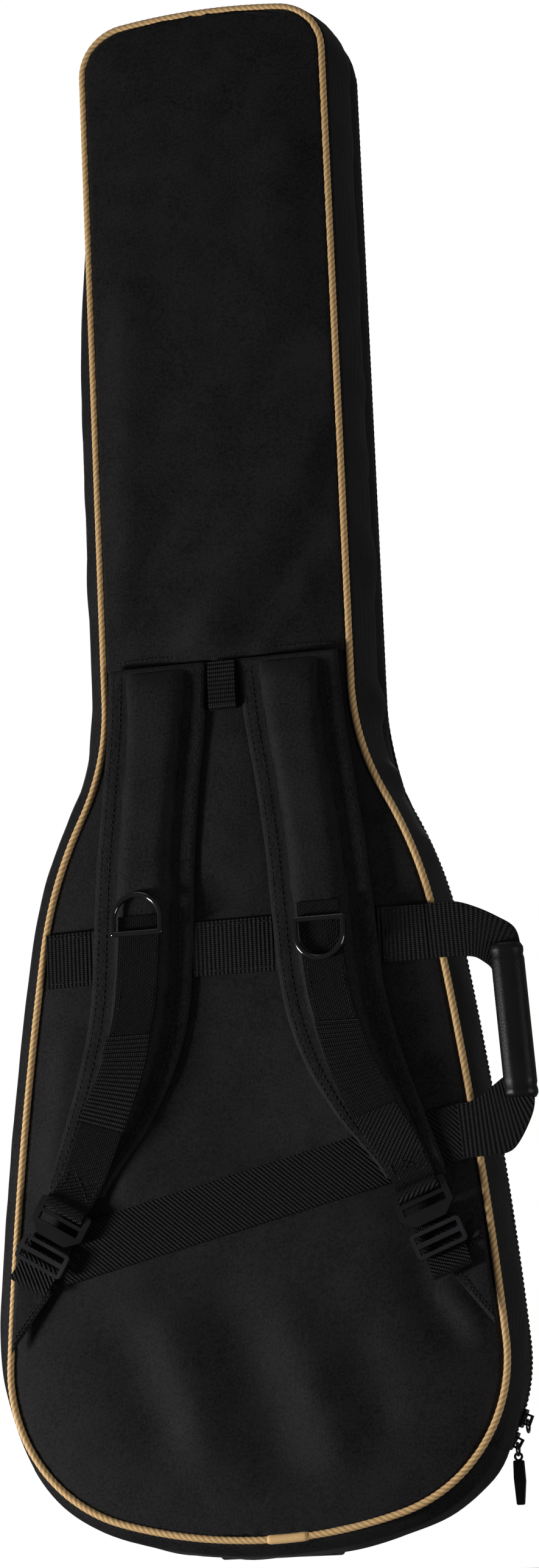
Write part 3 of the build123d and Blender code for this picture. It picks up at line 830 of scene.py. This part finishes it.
def make_handle():
    """Webbing legs that leave the bands and turn into the wrapped grip."""
    y = -53.0
    upper = [(139, y, 383, 136, y, 421), (148, y, 383.3, 146, y, 421), (160, y, 383, 158, y, 420.5),
             (169, y, 381.5, 172, y, 415.5), (176, y - 1, 377, 186, y - 1, 408),
             (180, y - 1.5, 373, 197, y, 400),
             (182, y - 1, 367, 200.5, y, 388), (183, y, 362, 200, y, 376)]
    lower = [(154, y, 246, 151, y, 283), (163, y, 246.5, 160.5, y, 284), (173, y, 247, 169, y, 288),
             (184, y, 248, 176, y, 293), (191, y, 252.5, 182, y - 1.5, 297),
             (198.5, y, 264, 185.5, y - 1, 300),
             (204, y, 277, 187, y, 304), (205, y, 290, 187.5, y, 308)]
    for name, rows, z in (("upper_handle_leg", upper, 402), ("lower_handle_leg", lower, 265)):
        obj = strip(name, rows, 2.2)
        dress(obj, "webbing_nylon", None, ["handle_webbing"] if z > 300 else ())
        x = fold_x(z)
        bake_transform(obj)
    top, foot = Vector((190.5, -52.1, 389.5)), Vector((196.0, -52.1, 284.5))
    rows, count = [], 40
    for i in range(count + 1):
        t = i / count
        end = min(t, 1 - t) * 104.0
        r = 11.6 * (1 - 0.16 * (1 - smooth(end / 4.0 + 0.2)) ** 1.4)
        if 5.5 < end < 8.0:
            r -= 0.6
        centre = top.lerp(foot, t)
        line = []
        for j in range(32):
            a = 2 * math.pi * j / 32
            flat = 1.0 - 0.22 * abs(math.sin(a))      # the grip is a little flatter than round
            seam = 0.7 * math.exp(-((math.sin((a - 4.4) / 2)) / 0.07) ** 2)
            p = centre + Vector((math.cos(a) * (r * 0.98 + seam), math.sin(a) * (r * flat + seam), 0))
            line.append(row(*p))
        rows.append(line)
    grip = grid("handle_wrap", rows, closed_u=True)
    close_ends(grip)
    dress(grip, "grip_leather", "handle", ["handle_grip"])


# ---- shoulder straps -----------------------------------------------------
STRAP = [                   # height, distance of its middle from the bag's, and width, down the strap
    (603, 47, 72), (560, 50, 71), (512, 56, 70), (468, 61, 71), (426, 64, 72), (366, 69, 72),
    (322, 80, 70), (284, 96, 62), (262, 108, 53), (246, 117, 46), (236, 121, 42),
]
STRAP_BACK = -54.5
LOCKS = {"left": (-131.0, 219.0, 31.0), "right": (127.0, 217.0, 21.0)}


def strap_height(z, u):
    """Thickness of the strap at a height and across its width, u from -1 to 1."""
    fade = smooth((603 - z) / 16.0) * smooth((z - 250) / 34.0)
    core = max(0.0, 1 - (abs(u) / 0.64) ** 3.2)
    pad = 8.6 * fade * core**0.62 * (1 + 0.06 * math.sin(z / 13.0) + 0.04 * math.sin(z / 5.3 + u * 4))
    groove = 0.7 * math.exp(-(((abs(u) - 0.67) / 0.04) ** 2))
    return 2.4 + pad - groove * fade


PAD_EDGE = 0.66             # half width of the padded middle, as a part of the strap's half width


def make_strap_pad(name, side, body):
    """Padded middle of a shoulder strap, cut a little slack and swollen by its filling."""
    rows = [r for r in spline(STRAP, 9) if r[0] > 256]
    columns, mesh_rows = 16, []
    for z, x, w in rows:
        fade = smooth((604 - z) / 14.0) * smooth((z - 250) / 30.0)
        line = []
        for j in range(columns + 1):
            u = PAD_EDGE * (2 * j / columns - 1)
            rise = 7.4 * fade * max(0.0, 1 - (abs(u) / PAD_EDGE) ** 4) ** 0.5
            line.append(row(side * x + u * w / 2, STRAP_BACK - 2.2 - rise, z))
        for j in range(columns - 1, 0, -1):
            u = PAD_EDGE * (2 * j / columns - 1)
            line.append(row(side * x + u * w / 2, STRAP_BACK - 0.6, z))
        mesh_rows.append(line)
    obj = grid("strap_pad_cloth_" + name, mesh_rows, closed_u=True)
    close_ends(obj)
    inflate(obj)
    dress(obj, "strap_mesh", body, ["strap_pad_" + name])


def make_strap(name, side):
    rows = spline(STRAP, 9)
    columns = 28
    mesh_rows, uvs, edges = [], [], ([], [], [], [])
    run = 0.0
    for i, (z, x, w) in enumerate(rows):
        run += abs(z - rows[i - 1][0]) if i else 0.0
        line = []
        for j in range(columns + 1):
            u = 2 * j / columns - 1
            h = min(strap_height(z, u), 2.4 + 0.2 * (1 - abs(u)))
            edge_round = 0.8 * smooth((abs(u) - 0.9) / 0.1)
            line.append(row(side * x + u * w / 2, STRAP_BACK - h + edge_round, z))
            uvs.append((u * w / 2 * MM, run * MM))
        for j in range(columns, -1, -1):
            u = 2 * j / columns - 1
            line.append(row(side * x + u * w / 2, STRAP_BACK - 0.2 * (1 - abs(u)), z))
            uvs.append((u * w / 2 * MM, run * MM))
        mesh_rows.append(line)
        for path, u in zip(edges, (-0.9, -0.74, 0.74, 0.9)):
            path.append(row(side * x + u * w / 2, STRAP_BACK - 2.4, z))
    obj = grid("shoulder_strap_" + name, mesh_rows, closed_u=True, uvs=uvs)
    close_ends(obj)
    body = "strap_" + name
    dress(obj, "strap_mesh", body, ["strap_base_" + name])
    make_strap_pad(name, side, body)
    stitches("strap_stitches_" + name, [p[2:] for p in edges], body, 4.2)
    make_strap_webbing(name, side, body)


def on_lock(name, x, y, z):
    """Point beside a ladder lock: x across it, y from its mid plane, z up towards the strap."""
    cx, cz, lean = LOCKS[name]
    a = math.radians(lean if cx < 0 else -lean)
    return (cx + x * math.cos(a) + z * math.sin(a), -60.4 + y, cz - x * math.sin(a) + z * math.cos(a))


def make_strap_webbing(name, side, body):
    """Webbing sewn down the strap from the D-ring, then round the ladder lock's bar."""
    half = 15.0
    lean = 0.35             # the webbing turns towards the lock's own lean below the cross seam

    def across(z, x, lift, wide):
        y = STRAP_BACK - strap_height(z, 0.0) - lift
        dip = side * lean * smooth((340 - z) / 60) * half
        return side * x - half - wide, y, z - dip, side * x + half + wide, y, z + dip

    middle = ((427, 64), (418, 64.4), (404, 65), (366, 69), (340, 75), (322, 80), (300, 89), (284, 96),
              (270, 103))
    rows = [across(z, x, 1.0, 0.0) for z, x in middle]
    for drop, y in ((34, 1.8), (24, 1.6), (16, -0.6), (13.5, -4.0), (9.0, -4.4), (6.6, -2.0), (7.0, 2.4)):
        rows.append((*on_lock(name, -half, y, drop), *on_lock(name, half, y, drop)))
    obj = strip("strap_webbing_cloth_" + name, rows, 1.4)
    dress(obj, "webbing_nylon", body, ["strap_webbing_" + name], "webbing_twill")
    upper = ((344, 74.4), (341, 75.0), (322, 80.0), (300, 89.0), (282, 97.5))
    layer = [across(z, x, 2.6 if z > 343 else 1.9, 0.8) for z, x in upper]
    over = strip("strap_webbing_overlay_" + name, layer, 1.3)
    dress(over, "webbing_nylon", body)
    box_lines = []
    for dx in (-12, 12):
        line = []
        for z, x in spline([(404, 65), (366, 69), (322, 80), (290, 93)], 8):
            line.append(row(side * x + dx, STRAP_BACK - strap_height(z, 0.0) - 1.9, z))
        box_lines.append(line)
    corners = [on_lock(name, x, 0.7, z) for x, z in ((-12, 20), (12, 20), (12, 40), (-12, 40))]
    for a, b in ((0, 1), (1, 2), (2, 3), (3, 0), (0, 2), (1, 3)):
        p, q = Vector(corners[a]), Vector(corners[b])
        box_lines.append([row(*p.lerp(q, t / 6)) for t in range(7)])
    stitches("strap_webbing_stitches_" + name, box_lines, body)
    make_lower_webbing(name, side)


def make_lower_webbing(name, side):
    """Webbing from the anchor patch up through the ladder lock, and its hanging tail."""
    half = 14.6
    path = [(0.8, -50.0), (0.4, -46.0), (2.6, -40.0), (4.6, -30.0), (4.2, -18.0), (3.8, -8.0), (3.2, -4.0)]
    rows = [(*on_lock(name, -half, y, z), *on_lock(name, half, y, z)) for y, z in path]
    obj = strip("lower_webbing_cloth_" + name, rows, 1.4)
    dress(obj, "webbing_nylon", None, ["lower_webbing_" + name], "webbing_twill")
    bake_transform(obj)


def make_anchor_stitches():
    lines = []
    for side in (-1, 1):
        corners = [Vector((side * x, -54.9, z)) for x, z in ((143.5, 172.0), (164.0, 198.0), (169.5, 139.0))]
        for inset in (0.0, 0.16):
            middle = sum(corners, Vector()) / 3
            near = [c.lerp(middle, inset) for c in corners]
            for a, b in ((0, 1), (0, 2)):
                lines.append([row(*near[a].lerp(near[b], t / 8)) for t in range(9)])
    stitches("anchor_stitches", lines, "shell", 3.2)


def make_hang_loop():
    """Narrow webbing folded into a loop below the hem."""
    low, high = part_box("hang_loop")
    half = 10.0
    y_in, y_out = (high[1] - Y_SHIFT) / MM - 0.8, (low[1] - Y_SHIFT) / MM + 0.8
    bottom = (low[2] - Z_SHIFT) / MM + 0.8
    turn = (y_in - y_out) / 2
    middle = (y_in + y_out) / 2
    rows = [(-half, y_in, 603, half, y_in, 603), (-half, y_in, 590, half, y_in, 590)]
    for i in range(7):
        a = math.pi * i / 6
        rows.append((-half, middle + turn * math.cos(a), bottom + turn - turn * math.sin(a),
                     half, middle + turn * math.cos(a), bottom + turn - turn * math.sin(a)))
    rows += [(-half, y_out, 590, half, y_out, 590), (-half, y_out + 1.5, 602, half, y_out + 1.5, 602)]
    obj = strip("hang_loop_webbing", rows, 1.4, detail=4)
    dress(obj, "webbing_nylon", "shell", ["hang_loop"])


# ---- zip -----------------------------------------------------------------
def wall_strip(name, points, y0, y1, sink, thick=0.6):
    """Narrow cloth strip that follows the side wall."""
    rows = [[on_wall(p, y0 + (y1 - y0) * j / 4, -sink) for j in range(5)] for p in points]
    obj = grid(name, rows)
    finish_mesh(obj)
    thicken(obj, thick, 0.0)
    return obj


def make_zip():
    """Tapes and coil teeth on both halves of the main zip, and the cloth fold that the lid turns on."""
    above, _ = seam_split(ring(5.0))
    tape = wall_strip("zip_tape_back_cloth", above, ZIP_Y - 7.0, ZIP_Y - 0.5, 1.0)
    dress(tape, "zip_tape", "shell", ["zip_tape_back"])
    tape = wall_strip("zip_tape_front_cloth", above, ZIP_Y + 0.5, ZIP_Y + 7.0, 1.0)
    dress(tape, "zip_tape", "lid", ["zip_tape_front"])
    low_left = [p for p in above if p[0] < 0 and p[1] < 412]
    fold = wall_strip("lid_fold_cloth", low_left, ZIP_Y - 3.4, ZIP_Y + 3.4, 0.2)
    dress(fold, "shell_nylon", None)
    x, z = low_left[len(low_left) // 2][:2]
    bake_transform(fold)
    right = trace(4.0)
    left = [(-x, z, -nx, nz) for x, z, nx, nz in reversed(right[1:-1])]
    run = [p for p in right if p[1] > 56.0] + [p for p in left if p[1] > 411.0]
    for name, y, body in (("back", ZIP_Y - 0.95, "shell"), ("front", ZIP_Y + 0.95, "lid")):
        path = [on_wall(p, y, -0.3) for p in run]
        obj = repeats("zip_coil_" + name, [path], 1.6, (0.62, 0.75, 0.9), "zip_coil")
        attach(obj, body)
        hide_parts("zip_teeth_" + name)


def pocket_cloth(name, rows_in, z_zip, half_zip, node):
    """A flat pocket with rounded, sewn edges on the lid."""
    y0 = FRONT + CROWN + 0.1
    rows, uvs = [], []
    levels = spline(rows_in, 10)
    z_low, z_high = levels[0][0], levels[-1][0]
    columns = 40
    for z, w in levels:
        line = []
        for j in range(columns + 1):
            u = -math.cos(math.pi * j / columns) * 0.5 + (2.0 * j / columns - 1) * 0.5
            x = u * w / 2
            d = min(w / 2 - abs(x), z - z_low, z_high - z)
            h = 12.6 * math.sqrt(max(0.0, 1 - (1 - min(d / 16.0, 1)) ** 2))
            near = smooth((abs(z - z_zip) - 8) / 6) if abs(x) < half_zip + 14 else 1.0
            h += near * 0.9 * ripple(x / 36.0, z / 40.0, 4.0) * smooth(d / 30)
            h = h if near > 0.5 or d < 16 else min(h, 12.3)
            line.append(row(x, y0 + max(h, 0.0), z))
            uvs.append((x * MM, z * MM))
        rows.append(line)
    obj = grid(name + "_pocket_cloth", rows, uvs=uvs)
    finish_mesh(obj)
    face_side(obj, 1, len(obj.data.polygons) // 2)
    thicken(obj, 1.2, -1.0)
    dress(obj, "shell_nylon", "lid", [node])
    path, reach = [], int(half_zip)
    for sx in (-1, 1):
        path.append([row(sx * (w / 2 - 9), y0 + 11.2, z) for z, w in levels[2:-2]])
    for dz in (-11, 11):
        path.append([row(x, y0 + 13.0, z_zip + dz) for x in range(-reach - 10, reach + 12, 4)])
    stitches(name + "_pocket_stitches", path, "lid")
    teeth = []
    for dz in (-1.1, 1.1):
        teeth.append([row(x, y0 + 15.0, z_zip + dz) for x in range(-reach - 8, reach + 9, 3)])
    obj = repeats(name + "_pocket_coil", teeth, 1.6, (0.62, 0.9, 0.7), "zip_coil")
    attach(obj, "lid")
    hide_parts(node + "_zip")


def make_pockets():
    """Pockets on the lid: widths at heights, then the zip's height and half length."""
    body = [(93, 234), (130, 291), (220, 299), (330, 269), (417, 213)]
    neck = [(641, 132), (760, 134), (880, 134), (999, 132)]
    pocket_cloth("body", body, 396, 84, "body_pocket")
    pocket_cloth("neck", neck, 968, 42, "neck_pocket")


def inner_panel(name, y, inset, thick, soften, finish, body, node):
    """Flat sheet inside the case, cut to the outline drawn in by an inset."""
    bottom, top = inset + 0.1, HEIGHT - inset - 0.1
    rows, uvs, columns = [], [], 36
    for i in range(121):
        z = bottom + (top - bottom) * (0.5 - 0.5 * math.cos(math.pi * i / 120))
        w = max(half_width(z, inset), 0.5)
        line = []
        for j in range(columns + 1):
            x = w * (2 * j / columns - 1)
            line.append(row(x, y + soften * ripple(x / 28.0, z / 31.0, 5.0), z))
            uvs.append((x * MM, z * MM))
        rows.append(line)
    obj = grid(name, rows, uvs=uvs)
    finish_mesh(obj)
    thicken(obj, thick, 0.0)
    dress(obj, finish, body, [node])


def make_insides():
    """Foam and plush lining of both halves."""
    inner_panel("back_foam_sheet", -39.5, 10.7, 9.4, 0.0, "foam_grey", "shell", "back_foam")
    inner_panel("back_lining_plush", -34.0, 10.9, 0.8, 0.35, "lining_grey", "shell", "back_lining")
    inner_panel("front_foam_sheet", 39.5, 13.9, 9.4, 0.0, "foam_grey", "lid", "front_foam")
    inner_panel("front_lining_plush", 34.0, 14.0, 0.8, 0.35, "lining_grey", "lid", "front_lining")
    above, below = seam_split(ring(5.0))
    foot = [above[-1]] + below + [above[0]]
    for name, points, y0, y1, sink, thick, finish, body, node in (
            ("side_foam", above, -43.4, 9.4, 5.2, 7.6, "foam_grey", "shell", "gusset_foam"),
            ("side_lining_plush", above, -43.4, 9.4, 9.6, 0.8, "lining_grey", "shell", "gusset_lining"),
            ("lid_side_foam", above, 22.6, 43.0, 5.2, 7.6, "foam_grey", "lid", "lid_gusset_foam"),
            ("bottom_foam", foot, -43.4, 42.6, 5.2, 7.6, "foam_grey", "shell", "bottom_gusset_foam")):
        obj = wall_strip(name, points, y0, y1, sink, thick)
        dress(obj, finish, body, [node])


def cushion(name, low, high, crown, node):
    """Stuffed block between two corners; crown(x, y, z) shapes it."""
    bm = bmesh.new()
    bmesh.ops.create_cube(bm, size=2.0)
    bmesh.ops.subdivide_edges(bm, edges=bm.edges, cuts=9, use_grid_fill=True)
    for v in bm.verts:
        u = Vector([math.copysign(abs(c) ** 0.9, c) for c in v.co])
        rounding = 1 - 0.045 * (u.x * u.x * u.z * u.z + u.y * u.y * u.z * u.z + u.x * u.x * u.y * u.y)
        p = [(a + b) / 2 + (b - a) / 2 * c * rounding for a, b, c in zip(low, high, u)]
        v.co = row(*crown(*p))
    obj = link_bmesh(name, bm)
    finish_mesh(obj)
    inflate(obj, 0.005)
    slot_name = "foam_grey" if node == "end_cushion" else "lining_grey"
    dress(obj, slot_name, "shell", [node], "lining_grey")


def make_rests():
    """Foot cushion, saddle for the neck and the strap over it."""

    def foot(x, y, z):
        rise = (x / 70.0) ** 2 * 7.0
        return x, y, z + rise * smooth((44 - z) / 27.0)

    def saddle(x, y, z):
        dip = 6.0 * max(0.0, 1 - (x / 44.0) ** 2)
        return x, y - dip * smooth((y + 24) / 12.0), z

    cushion("foot_cushion", (-69, -32.6, 17.5), (69, 21.5, 43), foot, "end_cushion")
    cushion("neck_saddle", (-71, -32.6, 801), (71, -11.0, 879), saddle, "neck_rest")
    rows = []
    for x in (-69, -45, -20, 0, 20, 45, 69):
        y = -8.7 - 0.6 * math.cos(x / 24.0)
        rows.append((x, y, 823, x, y, 857))
    strap = strip("neck_strap_webbing", rows, 1.4)
    dress(strap, "webbing_nylon", "shell", ["neck_strap"])


def make_anchor_patches():
    """Doubled triangles of cloth that the lower webbing is sewn to."""
    for name, side in (("left", -1), ("right", 1)):
        corners = [Vector((side * x, -53.6, z)) for x, z in ((140.6, 172.2), (165.0, 203.0), (171.6, 132.5))]
        rows = []
        for i in range(13):
            t = i / 12
            a, b = corners[0].lerp(corners[1], t), corners[0].lerp(corners[2], t)
            line = []
            for j in range(13):
                pucker = 0.35 * math.sin(i * 0.5) * math.sin(j * 0.26)
                line.append(row(*(a.lerp(b, j / 12) + Vector((0, pucker, 0)))))
            rows.append(line)
        obj = grid("anchor_patch_cloth_" + name, rows)
        finish_mesh(obj)
        face_side(obj, -1)
        thicken(obj, 1.2, 0.0)
        dress(obj, "shell_nylon", "shell", ["anchor_patch_" + name])


def dress_frame():
    """Carried-over CAD nodes get their procedural finish."""
    slots = {s["node"]: s["material_slot"] for s in frame["record"]["subparts"]}
    for name, obj in frame["nodes"].items():
        obj.data.materials.clear()
        finish = "slide_plastic" if name.startswith("webbing_slide") else slots[name]
        obj.data.materials.append(MATERIALS[finish])
        if any(word in name for word in ("lock", "ring", "slider", "slide", "pull", "guard")):
            for polygon in obj.data.polygons:
                polygon.use_smooth = False


# ---- studio --------------------------------------------------------------
FLOOR_Z = -300              # millimetres below the foot, so that no edge of it crosses the bag
MIDDLE_Z = 540              # height that the lights and the camera look at
LIGHTS = [                  # name, place from that height in metres, size, power
    ("key", (-1.75, -0.95, -0.85), 0.55, 74), ("side", (2.3, -1.2, -0.9), 0.8, 24),
    ("top", (-0.3, -0.5, 2.4), 1.0, 3), ("behind", (-0.9, 2.6, 0.8), 1.4, 55),
]
VIEW_ANGLES = (16.0, -10.5, 2.39)          # round the bag, up, and roll, in degrees
VIEW_DISTANCE = 3.0
LENS, SENSOR = 98.87, 36.0
VIEW_SHIFT = (0.0255, -0.0207)


def make_stage():
    look = bpy.context.scene.gig_bag
    bm = bmesh.new()
    bmesh.ops.create_grid(bm, x_segments=4, y_segments=4, size=40)
    floor = link_bmesh("floor", bm)
    floor.data.transform(Matrix.Translation((0, 0, row(0, 0, FLOOR_Z).z)))
    glow = {"Emission_Color": (1, 1, 0.99, 1), "Emission_Strength": 0.55}
    floor.data.materials.append(material("pale_floor", (0.8, 0.8, 0.79), 0.9, **glow))
    floor.visible_diffuse = False
    floor.visible_glossy = False
    world = bpy.data.worlds.new("studio")
    world.use_nodes = True
    nodes, links = world.node_tree.nodes, world.node_tree.links
    fill = nodes["Background"]
    fill.inputs["Color"].default_value = (0.96, 0.97, 1.0, 1)
    fill.inputs["Strength"].default_value = look.fill_light
    paper = nodes.new("ShaderNodeBackground")
    paper.inputs["Color"].default_value = (1, 1, 1, 1)
    seen, mix = nodes.new("ShaderNodeLightPath"), nodes.new("ShaderNodeMixShader")
    links.new(seen.outputs["Is Camera Ray"], mix.inputs["Fac"])
    links.new(fill.outputs["Background"], mix.inputs[1])
    links.new(paper.outputs["Background"], mix.inputs[2])
    links.new(mix.outputs["Shader"], nodes["World Output"].inputs["Surface"])
    bpy.context.scene.world = world
    bpy.context.scene.view_settings.view_transform = "Standard"
    target = row(0, 0, MIDDLE_Z)
    for name, place, size, power in LIGHTS:
        data = bpy.data.lights.new(name, "AREA")
        data.size, data.energy = size, power
        light = link(name, data)
        light.location = target + Vector(place)
        light.rotation_euler = (target - light.location).to_track_quat("-Z", "Y").to_euler()
    make_camera()


def make_camera():
    azimuth, elevation, roll = map(math.radians, VIEW_ANGLES)
    back = Vector((math.sin(azimuth) * math.cos(elevation), -math.cos(azimuth) * math.cos(elevation),
                   math.sin(elevation)))
    right = Vector((math.cos(azimuth), math.sin(azimuth), 0))
    up = back.cross(right)
    across = right * math.cos(roll) - up * math.sin(roll)
    upward = right * math.sin(roll) + up * math.cos(roll)
    data = bpy.data.cameras.new("camera")
    data.lens, data.sensor_width, data.sensor_fit = LENS, SENSOR, "AUTO"
    data.shift_x, data.shift_y = VIEW_SHIFT
    camera = link("camera", data)
    turn = Matrix((across, upward, back)).transposed().to_4x4()
    camera.matrix_world = Matrix.Translation(row(0, BACK, MIDDLE_Z) + back * VIEW_DISTANCE) @ turn
    bpy.context.scene.camera = camera


# ---- add-on --------------------------------------------------------------
class GigBagSettings(bpy.types.PropertyGroup):
    stitch_spacing: bpy.props.FloatProperty(
        name="Stitch spacing", description="From one stitch to the next", default=0.0036, min=0.002,
        max=0.01, subtype="DISTANCE", unit="LENGTH")
    cord_lay: bpy.props.FloatProperty(
        name="Cord lay", description="Length of piping in which its plies turn once", default=0.0043,
        min=0.002, max=0.02, subtype="DISTANCE", unit="LENGTH")
    cloth: bpy.props.FloatVectorProperty(
        name="Cloth", description="Colour of the woven nylon", subtype="COLOR", min=0, max=1,
        default=(0.0074, 0.0067, 0.0072))
    piping: bpy.props.FloatVectorProperty(
        name="Piping", description="Colour of the cord piping", subtype="COLOR", min=0, max=1,
        default=(0.95, 0.6, 0.26))
    fill_light: bpy.props.FloatProperty(
        name="Fill light", description="Strength of the even studio light", default=0.11, min=0, max=5)


def operator(name, label, text, work):
    """One operator class for one piece or group of like pieces."""

    def execute(self, context):
        work()
        return {"FINISHED"}

    body = {"bl_idname": "gigbag." + name, "bl_label": label, "__doc__": text, "execute": execute}
    return type("GIGBAG_OT_" + name, (bpy.types.Operator,), body)


def make_both_pipings():
    make_piping("back_piping_cord", BACK, "shell", "back_piping", "piping_tan")
    make_piping("front_piping_cord", FRONT, "lid", "front_piping", "piping_black")
    make_splice_cover()


def make_straps():
    make_strap("left", -1)
    make_strap("right", 1)
    make_anchor_patches()
    make_anchor_stitches()


def mix_materials():
    MATERIALS.update(make_materials())
    dress_frame()


OPERATORS = [
    operator("materials", "Materials", "Mix the finishes and dress the hard parts", mix_materials),
    operator("back_panels", "Back panels", "Padded cloth of the strap side", make_back_panels),
    operator("front_panel", "Front panel", "Padded cloth of the pocket side", make_front_panel),
    operator("side_walls", "Side walls", "Cloth of the side wall and the foot", make_side_walls),
    operator("piping", "Piping", "Twisted cord round both panels", make_both_pipings),
    operator("zip", "Zip", "Coil teeth of the main zip", make_zip),
    operator("pockets", "Pockets", "Pockets on the lid and their zips", make_pockets),
    operator("insides", "Insides", "Foam and lining of both halves", make_insides),
    operator("rests", "Rests", "Foot cushion, neck saddle and its strap", make_rests),
    operator("bands", "Carrying webbing", "Webbing bands across the back", make_bands),
    operator("handle", "Side handle", "Webbing legs and wrapped grip", make_handle),
    operator("straps", "Shoulder straps", "Padded straps, their webbing and stitches", make_straps),
    operator("hang_loop", "Hang loop", "Webbing loop below the hem", make_hang_loop),
    operator("stage", "Studio", "Floor, lights and camera", make_stage),
]


class GIGBAG_PT_panel(bpy.types.Panel):
    """Sidebar panel that lists the pieces."""
    bl_label = "Gig Bag"
    bl_idname = "GIGBAG_PT_panel"
    bl_space_type = "VIEW_3D"
    bl_region_type = "UI"
    bl_category = "Gig Bag"

    def draw(self, context):
        for name in ("stitch_spacing", "cord_lay", "cloth", "piping", "fill_light"):
            self.layout.prop(context.scene.gig_bag, name)
        for item in OPERATORS:
            self.layout.operator(item.bl_idname)


CLASSES = [GigBagSettings, *OPERATORS, GIGBAG_PT_panel]


def register():
    for item in CLASSES:
        bpy.utils.register_class(item)
    bpy.types.Scene.gig_bag = bpy.props.PointerProperty(type=GigBagSettings)


def unregister():
    del bpy.types.Scene.gig_bag
    for item in reversed(CLASSES):
        bpy.utils.unregister_class(item)


def main():
    register()
    for item in OPERATORS:
        getattr(bpy.ops.gigbag, item.bl_idname.split(".")[1])()


if __name__ == "__main__":
    main()
